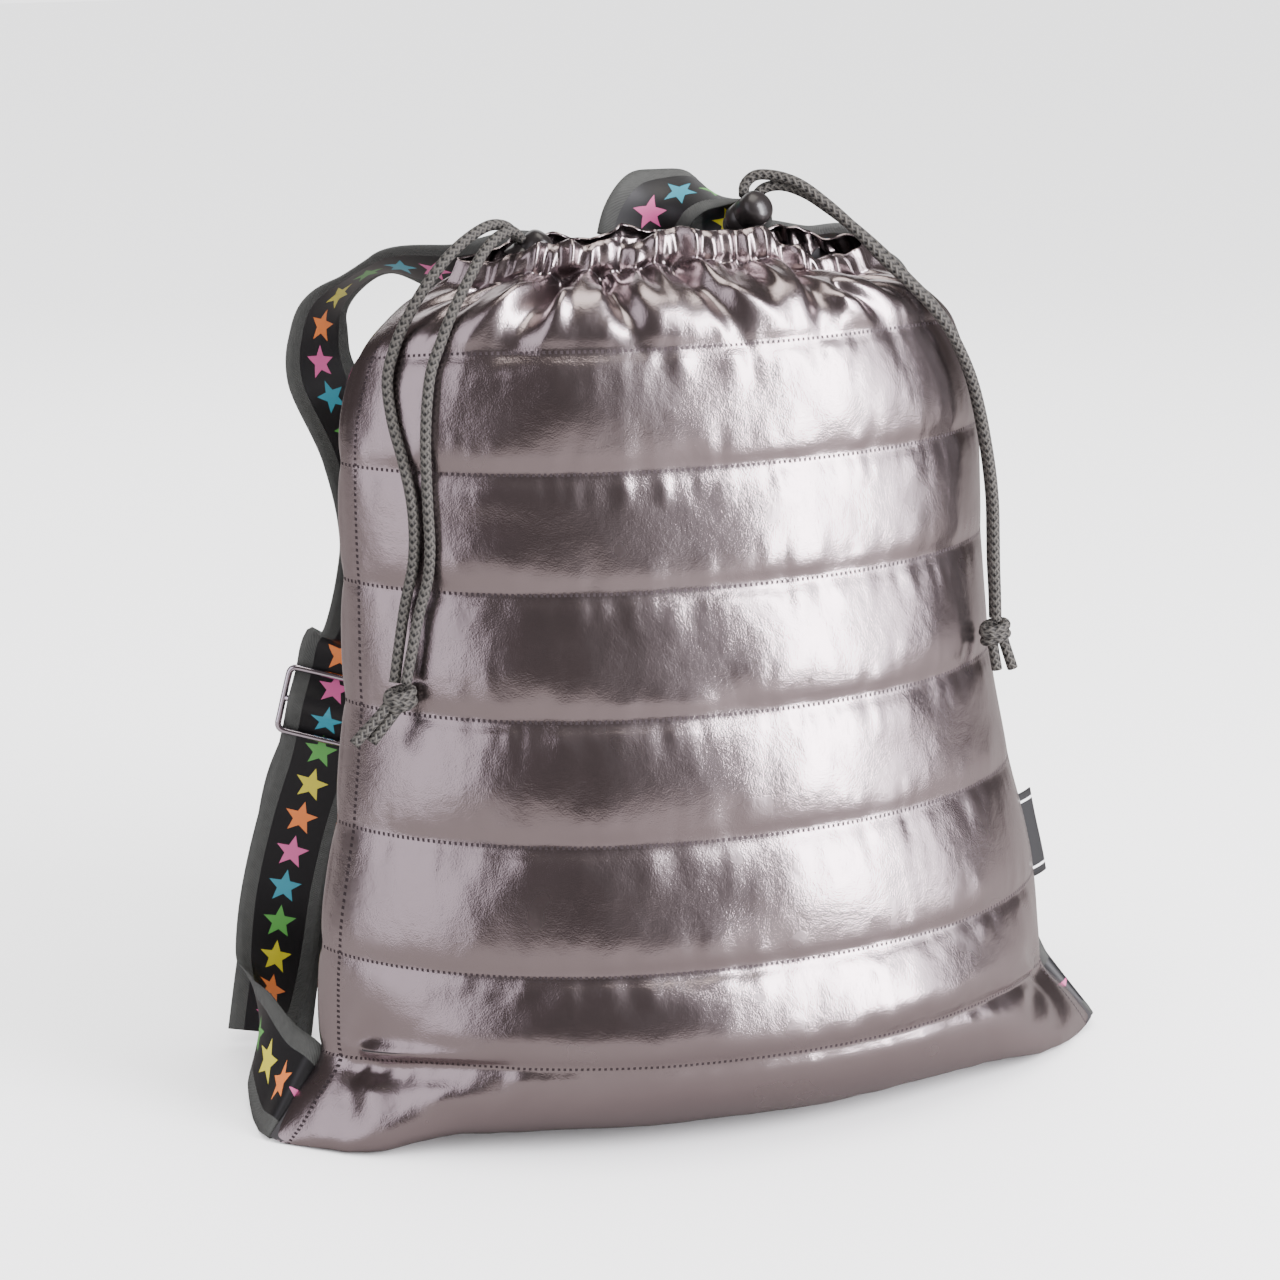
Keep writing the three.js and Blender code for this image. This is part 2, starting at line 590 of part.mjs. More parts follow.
function sliderGeometry() {
  const height = 2 * SLIDER_SLOT + 3 * SLIDER_BAR;
  const inside = WEBBING_WIDTH + 2 * CORD_GAP;
  const width = inside + 2 * SLIDER_BAR;
  const rectangle = (path, w, low, high) => {
    path.moveTo(-w / 2, low);
    path.lineTo(w / 2, low);
    path.lineTo(w / 2, high);
    path.lineTo(-w / 2, high);
    path.closePath();
    return path;
  };
  const corner = SLIDER_BAR * 0.8;
  const plate = new THREE.Shape();
  plate.moveTo(-width / 2 + corner, -height / 2);
  plate.lineTo(width / 2 - corner, -height / 2);
  plate.quadraticCurveTo(width / 2, -height / 2, width / 2, -height / 2 + corner);
  plate.lineTo(width / 2, height / 2 - corner);
  plate.quadraticCurveTo(width / 2, height / 2, width / 2 - corner, height / 2);
  plate.lineTo(-width / 2 + corner, height / 2);
  plate.quadraticCurveTo(-width / 2, height / 2, -width / 2, height / 2 - corner);
  plate.lineTo(-width / 2, -height / 2 + corner);
  plate.quadraticCurveTo(-width / 2, -height / 2, -width / 2 + corner, -height / 2);
  for (const sign of [-1, 1]) {
    const [near, far] = [sign * barHalf, sign * (barHalf + SLIDER_SLOT)];
    plate.holes.push(rectangle(new THREE.Path(), inside, Math.min(near, far), Math.max(near, far)));
  }
  return new THREE.ExtrudeGeometry(plate, {
    depth: SLIDER_THICK,
    bevelEnabled: false,
    curveSegments: 3,
  }).translate(0, 0, -SLIDER_THICK / 2);
}

// A closed mesh as a solid, and back.
function solid(geometry) {
  const bare = geometry.clone();
  bare.deleteAttribute("normal");
  bare.deleteAttribute("uv");
  const merged = mergeVertices(bare, 1e-4);
  const corners = merged.index.array;
  const kept = [];
  for (let i = 0; i < corners.length; i += 3) {
    const [a, b, c] = corners.slice(i, i + 3);
    if (a !== b && b !== c && c !== a) kept.push(a, b, c);
  }
  return new wasm.Manifold(
    new wasm.Mesh({
      numProp: 3,
      vertProperties: merged.attributes.position.array,
      triVerts: new Uint32Array(kept),
    }),
  );
}

function geometryFrom(body) {
  const mesh = body.getMesh();
  const geometry = new THREE.BufferGeometry();
  geometry.setAttribute("position", new THREE.BufferAttribute(mesh.vertProperties, 3));
  geometry.setIndex(new THREE.BufferAttribute(mesh.triVerts, 1));
  geometry.computeVertexNormals();
  return geometry;
}

// A round-ended slot cut through a lock, wide enough for both cords side by side.
function cordSlot(travel) {
  const radius = CORD / 2 + CORD_GAP;
  const spread = CORD / 2 + CORD_GAP / 2;
  const outline = new THREE.Shape();
  outline.absarc(spread, travel, radius, 0, Math.PI / 2, false);
  outline.absarc(-spread, travel, radius, Math.PI / 2, Math.PI, false);
  outline.absarc(-spread, 0, radius, Math.PI, 1.5 * Math.PI, false);
  outline.absarc(spread, 0, radius, 1.5 * Math.PI, 2 * Math.PI, false);
  outline.closePath();
  const length = 4 * LOCK_RADIUS;
  return new THREE.ExtrudeGeometry(outline, {
    depth: length,
    bevelEnabled: false,
    curveSegments: 2,
  })
    .translate(0, 0, -length / 2)
    .rotateX(-Math.PI / 2);
}

// Cord locks, built along their own Z: closed dome at +Z, the button comes out at -Z,
// and the cords pass along Y at the origin.
const LOCK_SIDES = 12;
const domeEnd = LOCK_LENGTH * 0.55;
const mouthEnd = domeEnd - LOCK_LENGTH;

function barrelGeometry() {
  const profile = [
    [0, domeEnd],
    [LOCK_RADIUS * 0.55, domeEnd - 0.8],
    [LOCK_RADIUS * 0.9, domeEnd - 2.6],
    [LOCK_RADIUS, domeEnd - 5],
    [LOCK_RADIUS, mouthEnd],
    [LOCK_BORE + RUNNING_GAP, mouthEnd],
    [LOCK_BORE + RUNNING_GAP, domeEnd - 2.6 - WALL / 3],
    [0, domeEnd - 2.6 - WALL / 3],
  ]
    .reverse()
    .map(([r, z]) => new THREE.Vector2(r, z));
  const cup = solid(new THREE.LatheGeometry(profile, LOCK_SIDES).rotateX(Math.PI / 2));
  return geometryFrom(cup.subtract(solid(cordSlot(0))));
}

function buttonGeometry() {
  const inner = domeEnd - 2.6 - WALL / 3 - BUTTON_TRAVEL - RUNNING_GAP;
  const outer = mouthEnd - BUTTON_REACH;
  const profile = [
    [0, inner],
    [LOCK_BORE, inner],
    [LOCK_BORE, outer + 2],
    [LOCK_BORE * 0.75, outer + 0.5],
    [0, outer],
  ]
    .reverse()
    .map(([r, z]) => new THREE.Vector2(r, z));
  const plunger = solid(new THREE.LatheGeometry(profile, LOCK_SIDES).rotateX(Math.PI / 2));
  return geometryFrom(plunger.subtract(solid(cordSlot(BUTTON_TRAVEL))));
}

function cordGeometry(points) {
  const curve = new THREE.CatmullRomCurve3(points.map(vector));
  const outline = new THREE.Shape();
  outline.absarc(0, 0, CORD / 2, 0, 2 * Math.PI, false);
  return new THREE.ExtrudeGeometry(outline, {
    steps: Math.round(curve.getLength() / (2.6 * CORD)),
    curveSegments: CORD_SIDES / 2,
    bevelEnabled: false,
    extrudePath: curve,
  });
}

// An overhand knot in the two ends of a pair of cords, with both ends below it.
function knotGeometry(tailLean) {
  const ball = new THREE.SphereGeometry(KNOT_RADIUS, 10, 7).scale(1, 0.75, 0.72);
  let knot = solid(ball);
  for (const sign of [-1, 1]) {
    const spread = (sign * CORD) / 2;
    const path = new THREE.CatmullRomCurve3([
      new THREE.Vector3(spread, 0, 0),
      new THREE.Vector3(spread * 1.2 + tailLean * 6, -1, -KNOT_RADIUS * 0.7),
      new THREE.Vector3(spread * 1.6 + tailLean * TAIL_LENGTH, -2, -TAIL_LENGTH),
    ]);
    const outline = new THREE.Shape();
    outline.absarc(0, 0, CORD / 2, 0, 2 * Math.PI, false);
    const tail = new THREE.ExtrudeGeometry(outline, {
      steps: 3,
      curveSegments: CORD_SIDES / 2,
      bevelEnabled: false,
      extrudePath: path,
    });
    knot = knot.add(solid(tail));
  }
  return geometryFrom(knot);
}

const CLOTH = { color: 0xa8989c, roughness: 0.32, metalness: 0.85 };
const WEBBING = { color: 0x4c4d4b, roughness: 0.9, metalness: 0 };
const METAL = { color: 0xb9b1bd, roughness: 0.2, metalness: 1 };
const PLASTIC = { color: 0x252223, roughness: 0.5, metalness: 0 };
const BRAID = { color: 0x6b665e, roughness: 0.9, metalness: 0 };
const WOVEN_LABEL = { color: 0x121212, roughness: 0.8, metalness: 0 };

const backpack = new THREE.Group();
backpack.position.y = -MIDDLE_BACK;

function addPiece(name, geometry, finish, parent = backpack) {
  const mesh = new THREE.Mesh(geometry, new THREE.MeshStandardMaterial(finish));
  mesh.name = name;
  parent.add(mesh);
  return mesh;
}

function addPanels() {
  addPiece("front_panel", panelGeometry(FRONT), CLOTH);
  addPiece("back_panel", panelGeometry(BACK), CLOTH);
}

function addStraps(side, name) {
  const strap = bandGeometry(strapStations(side), WEBBING_WIDTH, WEBBING_THICK);
  addPiece("shoulder_strap_" + name, strap, WEBBING);
  const tail = bandGeometry(tailStations(side), WEBBING_WIDTH, WEBBING_THICK);
  addPiece("strap_tail_" + name, tail, WEBBING);
  const slider = addPiece("slider_" + name, sliderGeometry(), METAL);
  const { point, across, down, out } = sliderFrame(side);
  const turn = across.clone().cross(down).dot(out) > 0 ? across : across.clone().negate();
  slider.quaternion.setFromRotationMatrix(new THREE.Matrix4().makeBasis(turn, down, out));
  slider.position.copy(point);
}

function addHandle() {
  const seat = seatOn(BACK, HANDLE_FOOT.u, BACK.gather + 0.8, WEBBING_WIDTH * 2.4, 14);
  const foot = seat.middle.addScaledVector(seat.out, seat.height);
  const marks = HANDLE_ROUTE.map((row) => ({
    point: new THREE.Vector3(HANDLE_FOOT.x + row.x, foot.y + row.y, foot.z + row.z),
    across: vector(row.across).normalize(),
  }));
  const loop = bandGeometry(smoothStations(marks, 26), WEBBING_WIDTH, WEBBING_THICK);
  addPiece("carry_handle", loop, WEBBING);
}

// Each lock sits in the mouth against the inside of the front header. It is placed from the
// bag's middle, from the mouth's side seams and from the top of the bag.
const LOCKS = [
  { name: "left", x: -60, behind: 0.07, above: -8.5, axis: [0.81, 0, 0.58], cord: [-0.58, 0, 0.81] },
  { name: "right", x: 38, behind: -1.93, above: 4, axis: [0.3, -0.75, 0.55], cord: [0.35, 0, 1] },
];

function addLock({ name, x, behind, above, axis, cord }) {
  const lock = new THREE.Group();
  const mouth = SIDE_SEAM.at(-1).lean * BAG_DEPTH;
  lock.position.set(x, mouth + behind, BAG_HEIGHT + above);
  const along = vector(axis).normalize();
  const through = vector(cord).addScaledVector(along, -vector(cord).dot(along)).normalize();
  const beside = through.clone().cross(along);
  lock.quaternion.setFromRotationMatrix(new THREE.Matrix4().makeBasis(beside, through, along));
  addPiece("lock_barrel_" + name, barrelGeometry(), PLASTIC, lock);
  addPiece("lock_button_" + name, buttonGeometry(), PLASTIC, lock);
  backpack.add(lock);
}

function addCords() {
  for (const [name, points] of Object.entries(CORDS))
    addPiece(name, cordGeometry(points), BRAID);
  for (const { name, at, lean } of KNOTS)
    addPiece("knot_" + name, knotGeometry(lean), BRAID).position.copy(vector(at));
}

// The woven label caught in the right side seam, turned a little to the back.
function addLabel() {
  const [low, high] = LABEL_SEAM.map((at) =>
    new THREE.Vector3(
      along(SIDE_SEAM, "half", at) * halfWidth,
      along(SIDE_SEAM, "lean", at) * BAG_DEPTH,
      at * BAG_HEIGHT,
    ),
  );
  const up = high.clone().sub(low).normalize();
  const out = new THREE.Vector3(1, LABEL_TURN, 0);
  out.addScaledVector(up, -out.dot(up)).normalize();
  const label = new THREE.BoxGeometry(LABEL_WIDTH, LABEL_THICK, LABEL_HEIGHT);
  const mesh = addPiece("side_label", label, WOVEN_LABEL);
  const face = up.clone().cross(out);
  mesh.quaternion.setFromRotationMatrix(new THREE.Matrix4().makeBasis(out, face, up));
  mesh.position.copy(low.add(high).multiplyScalar(0.5));
  mesh.position.addScaledVector(out, LABEL_WIDTH / 2 + 4 * SEAT_GAP);
}

addPanels();
addStraps(-1, "left");
addStraps(1, "right");
addHandle();
LOCKS.forEach(addLock);
addCords();
addLabel();

export default backpack;
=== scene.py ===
import math

import bmesh
import bpy
import numpy as np
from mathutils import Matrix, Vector


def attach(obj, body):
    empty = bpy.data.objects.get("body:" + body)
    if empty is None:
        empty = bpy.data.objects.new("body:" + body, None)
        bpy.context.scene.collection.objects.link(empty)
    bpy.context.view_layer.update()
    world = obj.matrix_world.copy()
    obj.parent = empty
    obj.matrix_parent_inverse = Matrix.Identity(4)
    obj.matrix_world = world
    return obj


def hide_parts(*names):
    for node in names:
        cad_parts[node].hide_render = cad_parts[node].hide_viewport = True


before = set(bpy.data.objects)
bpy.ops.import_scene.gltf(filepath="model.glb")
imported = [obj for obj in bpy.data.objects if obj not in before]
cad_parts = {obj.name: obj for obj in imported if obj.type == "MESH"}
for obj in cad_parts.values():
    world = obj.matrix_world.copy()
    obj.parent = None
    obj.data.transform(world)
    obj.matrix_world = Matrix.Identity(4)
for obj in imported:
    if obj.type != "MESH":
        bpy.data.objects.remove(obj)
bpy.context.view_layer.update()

BAG_WIDTH = 386
BAG_HEIGHT = 372
BAG_DEPTH = 145
HALF = BAG_WIDTH / 2
PUFF_OUT = 5.5
FOLD_DEPTH = 10
MIDDLE_BACK = 16.9
WEBBING_WIDTH = 38
WEBBING_THICK = 1.4
CORD = 4.7
SEAT_GAP = 0.3
SLIDER_BAR = 3.4
SLIDER_SLOT = 11.2
SLIDER_THICK = 2.5
LOCK_RADIUS = 7.5
LOCK_LENGTH = 19
LOCK_BORE = 5.6
BUTTON_REACH = 6

# Height, half width and lean back of the side seam, as shares.
SIDE_SEAM = np.array([
    (0.032, 1.0, 0.0), (0.062, 0.945, 0.005), (0.1, 0.87, 0.014), (0.212, 0.855, 0.028),
    (0.352, 0.803, 0.083), (0.487, 0.767, 0.138), (0.624, 0.756, 0.179), (0.755, 0.752, 0.2),
    (0.87, 0.7, 0.234), (0.91, 0.63, 0.234), (0.935, 0.56, 0.234), (0.95, 0.5, 0.234),
    (0.975, 0.475, 0.234),
])
# Channel count, side height, middle height, stand-off, swell and whether it is stitched.
FRONT_ROWS = np.array([
    (0, 0.032, 0.011, 0.345, 1, 1), (0.35, 0.055, 0.035, 0.555, 1, 0),
    (1, 0.1, 0.113, 0.655, 1, 1), (2, 0.212, 0.212, 0.593, 1, 1), (3, 0.352, 0.352, 0.559, 1, 1),
    (4, 0.487, 0.487, 0.531, 1, 1), (5, 0.624, 0.624, 0.476, 1, 1), (6, 0.755, 0.755, 0.428, 1, 1),
    (7, 0.87, 0.888, 0.41, 0.8, 1), (7.45, 0.91, 0.936, 0.345, 0.8, 0),
    (7.8, 0.935, 0.957, 0.25, 0.8, 0), (8, 0.95, 0.966, 0.175, 0.5, 1),
    (9, 0.975, 1.0, 0.165, 0, 1),
])
BACK_ROWS = np.array([
    (0, 0.032, 0.011, -0.345, 1, 1), (0.4, 0.04, 0, -0.25, 1, 0), (1, 0.055, 0, 0.03, 1, 1),
    (1.5, 0.075, 0, 0.25, 1, 0), (2, 0.1, 0.1, 0.345, 1, 1), (3, 0.212, 0.212, 0.37, 1, 1),
    (4, 0.352, 0.352, 0.35, 1, 1), (5, 0.487, 0.487, 0.335, 1, 1), (6, 0.624, 0.624, 0.32, 1, 1),
    (7, 0.755, 0.755, 0.3, 1, 1), (8, 0.87, 0.888, 0.28, 0.8, 1),
    (8.45, 0.91, 0.936, 0.255, 0.8, 0), (8.8, 0.935, 0.957, 0.21, 0.8, 0),
    (9, 0.95, 0.968, 0.175, 0.5, 1), (10, 0.975, 0.99, 0.165, 0, 1),
])
# Gathered folds: place, half width, depth and reach, as in the solids.
FRONT_FOLDS = [(-0.86, 0.07, 0.4, 0.75), (-0.6, 0.06, 0.5, 0.6), (-0.33, 0.07, 0.9, 0.85),
               (-0.04, 0.07, 1.0, 0.9), (0.24, 0.06, 0.6, 0.55), (0.5, 0.07, 0.9, 0.8),
               (0.77, 0.07, 0.8, 0.7)]
BACK_FOLDS = [(2 * (i + 1) / 7 - 1, 0.07, 0.45, 0.7) for i in range(6)]
# Creases: start and end as place across and channel count, then half width and depth in
# millimetres. A negative depth is a ridge.
FRONT_CREASES = [
    (-0.37, 8.0, -0.24, 7.1, 3.2, 7.0), (-0.31, 7.9, -0.40, 7.35, 4.5, -3.0),
    (-0.05, 8.0, 0.09, 7.1, 3.4, 6.5), (0.04, 7.95, 0.0, 7.5, 4.0, -3.0),
    (0.10, 7.5, 0.25, 7.15, 4.0, -2.5), (0.46, 8.0, 0.38, 7.12, 3.4, 7.5),
    (0.53, 7.5, 0.62, 7.1, 3.0, 5.0), (0.47, 7.3, 0.56, 7.2, 3.5, -4.0),
    (0.28, 7.95, 0.22, 7.45, 3.0, 4.0), (0.66, 8.0, 0.74, 7.3, 3.4, 6.0),
    (0.84, 8.0, 0.88, 7.4, 3.0, 4.5), (-0.52, 8.0, -0.62, 7.08, 5.5, 11.0),
    (-0.62, 7.75, -0.72, 7.2, 3.5, -4.0), (-0.5, 7.6, -0.52, 7.15, 3.5, -4.0),
    (-0.76, 8.0, -0.84, 7.3, 3.2, 5.5), (-0.9, 8.0, -0.95, 7.4, 3.0, 4.0),
    (-0.2, 8.0, -0.14, 7.5, 2.6, 3.5), (0.16, 8.0, 0.13, 7.6, 2.6, 3.5),
    (-0.96, 0.97, -0.8, 0.66, 3.6, 7.0), (-0.95, 0.9, -0.9, 0.4, 3.0, 5.5),
    (-0.95, 1.06, -0.84, 1.36, 3.2, 2.5), (-0.9, 0.9, -0.62, 0.84, 3.0, 5.0),
    (-0.93, 0.8, -0.84, 0.72, 3.0, -4.5), (-0.94, 1.12, -0.9, 1.5, 2.6, 4.0),
    (-0.93, 1.1, -0.68, 1.07, 2.4, -4.5), (-0.93, 1.0, -0.64, 0.995, 2.0, 4.5),
    (0.93, 1.1, 0.74, 1.07, 2.4, -3.0), (0.93, 1.0, 0.7, 0.995, 2.0, 3.0),
    (0.95, 0.97, 0.82, 0.7, 3.6, 5.0), (0.95, 0.92, 0.9, 0.45, 3.0, 4.5),
    (0.95, 1.06, 0.86, 1.35, 3.0, 4.5),
]
BACK_CREASES = [
    (-0.9, 9.0, -0.85, 8.3, 3.2, 5.0), (-0.62, 9.0, -0.56, 8.2, 3.4, 6.0),
    (-0.36, 9.0, -0.4, 8.3, 3.0, 5.0), (-0.1, 9.0, -0.04, 8.2, 3.2, 5.5),
    (0.2, 9.0, 0.26, 8.3, 3.0, 5.0), (0.48, 9.0, 0.44, 8.2, 3.4, 6.0),
    (0.74, 9.0, 0.8, 8.3, 3.0, 5.0), (-0.98, 2.0, -0.84, 1.7, 4.0, 3.5),
    (0.98, 2.0, 0.84, 1.7, 4.0, 3.5),
]


def place(points):
    """Row frame, in metres, from millimetres in the bag's frame."""
    moved = np.array(points, float)
    moved[..., 1] -= MIDDLE_BACK
    return moved / 1000


def ease(value):
    """A smooth step from 0 to 1."""
    t = np.clip(value, 0, 1)
    return t * t * (3 - 2 * t)


# How the bag stands: the height below which it sags, how much its front edge is pushed back, and
# how far the left and right ears come forward and down.
SAG_HEIGHT = 58
FRONT_PUSH = 9.5
EAR_FORWARD = (11.0, 6.0)
EAR_DROOP = (12.0, 9.0)
FLOOR_GAP = 0.2


def settle(points):
    """The bottom as it stands: flatter in front, with both ears drooping to the floor."""
    moved = np.array(points, float)
    x, y, z = moved[..., 0], moved[..., 1], moved[..., 2]
    low = ease(1 - z / SAG_HEIGHT)
    ears = ease((np.abs(x) - 115) / 65) * low * ease((45 - y) / 30)
    moved[..., 1] += FRONT_PUSH * low * ease(-y / 38) * ease((165 - np.abs(x)) / 80)
    moved[..., 1] -= np.where(x < 0, *EAR_FORWARD) * ears
    moved[..., 2] -= np.where(x < 0, *EAR_DROOP) * ears
    moved[..., 2] = np.maximum(moved[..., 2], FLOOR_GAP)
    return moved


# Camera, at the photograph's angle and size of view.
AZIMUTH, ELEVATION = math.radians(-20), math.radians(15)
DISTANCE = 1.5
LENS = 98.3
PHOTO_PIXELS = 1280
SHIFT_PIXELS = (-52, 8)
AIM = Vector((0, -MIDDLE_BACK / 1000, 0.195))
back = Vector((math.sin(AZIMUTH) * math.cos(ELEVATION), -math.cos(AZIMUTH) * math.cos(ELEVATION),
               math.sin(ELEVATION)))
camera_data = bpy.data.cameras.new("camera")
camera = bpy.data.objects.new("camera", camera_data)
bpy.context.scene.collection.objects.link(camera)
bpy.context.scene.camera = camera
camera_data.sensor_width = 36
camera_data.lens = LENS
camera_data.shift_x = SHIFT_PIXELS[0] / PHOTO_PIXELS
camera_data.shift_y = SHIFT_PIXELS[1] / PHOTO_PIXELS
camera_data.clip_start = 0.05
camera.location = AIM + back * DISTANCE
camera.rotation_euler = back.to_track_quat("Z", "Y").to_euler()


# Mesh helpers.
def mesh_object(name, points, faces):
    mesh = bpy.data.meshes.new(name)
    mesh.from_pydata([tuple(p) for p in points], [], [tuple(int(i) for i in f) for f in faces])
    mesh.polygons.foreach_set("use_smooth", [True] * len(mesh.polygons))
    mesh.update()
    obj = bpy.data.objects.new(name, mesh)
    bpy.context.scene.collection.objects.link(obj)
    return obj


def set_uv(obj, uv, name="flat"):
    """One coordinate pair for each vertex, written to each corner."""
    layer = obj.data.uv_layers.new(name=name)
    loops = np.empty(len(obj.data.loops), dtype=np.int64)
    obj.data.loops.foreach_get("vertex_index", loops)
    layer.data.foreach_set("uv", np.asarray(uv, float)[loops].ravel())


def apply_modifiers(obj):
    graph = bpy.context.evaluated_depsgraph_get()
    done = bpy.data.meshes.new_from_object(obj.evaluated_get(graph), depsgraph=graph)
    obj.modifiers.clear()
    obj.data = done


def finish_piece(obj, material, body, node):
    obj.data.materials.clear()
    obj.data.materials.append(material)
    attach(obj, body)
    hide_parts(node)


def catmull(points, t):
    """Centripetal curve through points at shares t of its knots."""
    p = np.asarray(points, float)
    n = len(p)
    p = np.vstack([2 * p[0] - p[1], p, 2 * p[-1] - p[-2]])
    spot = np.clip(np.asarray(t) * (n - 1), 0, n - 1 - 1e-9)
    k = spot.astype(int)
    w = (spot - k)[:, None]
    p0, p1, p2, p3 = p[k], p[k + 1], p[k + 2], p[k + 3]
    gap = [np.maximum(((b - a) ** 2).sum(1) ** 0.25, 1e-4)[:, None] for a, b in
           ((p0, p1), (p1, p2), (p2, p3))]
    a = ((p1 - p0) / gap[0] - (p2 - p0) / (gap[0] + gap[1]) + (p2 - p1) / gap[1]) * gap[1]
    b = ((p2 - p1) / gap[1] - (p3 - p1) / (gap[1] + gap[2]) + (p3 - p2) / gap[2]) * gap[1]
    return p1 + a * w + (3 * (p2 - p1) - 2 * a - b) * w**2 + (2 * (p1 - p2) + a + b) * w**3


def unit(v):
    return v / np.maximum(np.linalg.norm(v, axis=-1, keepdims=True), 1e-9)


def run_along(path):
    """Distance from the path's start to each of its points."""
    return np.concatenate([[0], np.cumsum(np.linalg.norm(np.diff(path, axis=0), axis=1))])


def run_across(points):
    """Distance of each point of a grid from the middle of its row."""
    step = np.linalg.norm(np.diff(points, axis=1), axis=2)
    run = np.concatenate([np.zeros((len(points), 1)), np.cumsum(step, axis=1)], axis=1)
    return run - run[:, [run.shape[1] // 2]]


def each_axis(at, known, values):
    """Values read off at each place, one axis at a time."""
    return np.stack([np.interp(at, known, values[:, i]) for i in range(3)], axis=1)


def ring_faces(count, sides, capped):
    """Faces between rings of points, with a cap at each end if wanted."""
    faces = [(i * sides + j, i * sides + (j + 1) % sides, (i + 1) * sides + (j + 1) % sides,
              (i + 1) * sides + j) for i in range(count - 1) for j in range(sides)]
    if capped:
        faces.append(tuple(reversed(range(sides))))
        faces.append(tuple(range((count - 1) * sides, count * sides)))
    return faces


def tube(name, path, radius, sides=14, capped=True):
    """A tube along path in the bag's frame, with a flat map of turns and metres."""
    path = np.asarray(path, float)
    ahead = unit(np.gradient(path, axis=0))
    side = np.cross(ahead[0], (0.3, 0.2, 0.9))
    sides_list = []
    for step in ahead:
        side = side - step * side.dot(step)
        side = side / np.linalg.norm(side)
        sides_list.append(side.copy())
    side = np.array(sides_list)
    other = np.cross(ahead, side)
    angle = np.linspace(0, 2 * np.pi, sides, endpoint=False)
    ring = (side[:, None] * np.cos(angle)[None, :, None]
            + other[:, None] * np.sin(angle)[None, :, None])
    points = (path[:, None] + ring * radius).reshape(-1, 3)
    obj = mesh_object(name, place(points), ring_faces(len(path), sides, capped))
    run = run_along(path)
    layer = obj.data.uv_layers.new(name="flat")
    corners = []
    for poly in obj.data.polygons:
        ids = list(poly.vertices)
        turn = [(i % sides) / sides for i in ids]
        if max(turn) - min(turn) > 0.5:
            turn = [t + 1 if t < 0.5 else t for t in turn]
        corners += [(t, run[i // sides] / 1000) for t, i in zip(turn, ids)]
    layer.data.foreach_set("uv", np.array(corners).ravel())
    return obj


# Materials, by nodes alone.
class Nodes:
    def __init__(self, name):
        self.material = bpy.data.materials.new(name)
        self.material.use_nodes = True
        self.tree = self.material.node_tree
        self.shader = self.tree.nodes["Principled BSDF"]

    def new(self, kind, **facts):
        node = self.tree.nodes.new(kind)
        for key, value in facts.items():
            setattr(node, key, value)
        return node

    def link(self, value, socket):
        if hasattr(value, "links") or hasattr(value, "is_linked"):
            self.tree.links.new(value, socket)
        else:
            socket.default_value = value

    def math(self, kind, a, b=None, c=None, clamp=False):
        node = self.new("ShaderNodeMath", operation=kind, use_clamp=clamp)
        for i, value in enumerate((a, b, c)):
            if value is not None:
                self.link(value, node.inputs[i])
        return node.outputs[0]

    def mix(self, share, a, b):
        node = self.new("ShaderNodeMix", data_type="RGBA")
        self.link(share, node.inputs[0])
        self.link(a, node.inputs[6])
        self.link(b, node.inputs[7])
        return node.outputs[2]

    def noise(self, vector, scale, detail=2.0, rough=0.5):
        node = self.new("ShaderNodeTexNoise")
        self.link(vector, node.inputs["Vector"])
        node.inputs["Scale"].default_value = scale
        node.inputs["Detail"].default_value = detail
        node.inputs["Roughness"].default_value = rough
        return node.outputs["Fac"]

    def bump(self, height, distance, strength=1.0, normal=None):
        node = self.new("ShaderNodeBump")
        self.link(height, node.inputs["Height"])
        node.inputs["Distance"].default_value = distance
        node.inputs["Strength"].default_value = strength
        if normal is not None:
            self.link(normal, node.inputs["Normal"])
        return node.outputs["Normal"]

    def uv(self, name="flat"):
        node = self.new("ShaderNodeUVMap", uv_map=name)
        split = self.new("ShaderNodeSeparateXYZ")
        self.tree.links.new(node.outputs[0], split.inputs[0])
        return node.outputs[0], split.outputs[0], split.outputs[1]

    def position(self):
        return self.new("ShaderNodeTexCoord").outputs["Object"]

    def set(self, **facts):
        for key, value in facts.items():
            self.link(value, self.shader.inputs[key.replace("_", " ")])


# Stitches: half the thread's width in channel counts, their pitch in metres, the seam's place and
# half width as shares across, and the seam's stitches in one channel.
ROW_THREAD = 0.014
STITCH_PITCH = 0.0024
SEAM_AT = 0.972
SEAM_THREAD = 0.0028
STITCHES_A_CHANNEL = 19


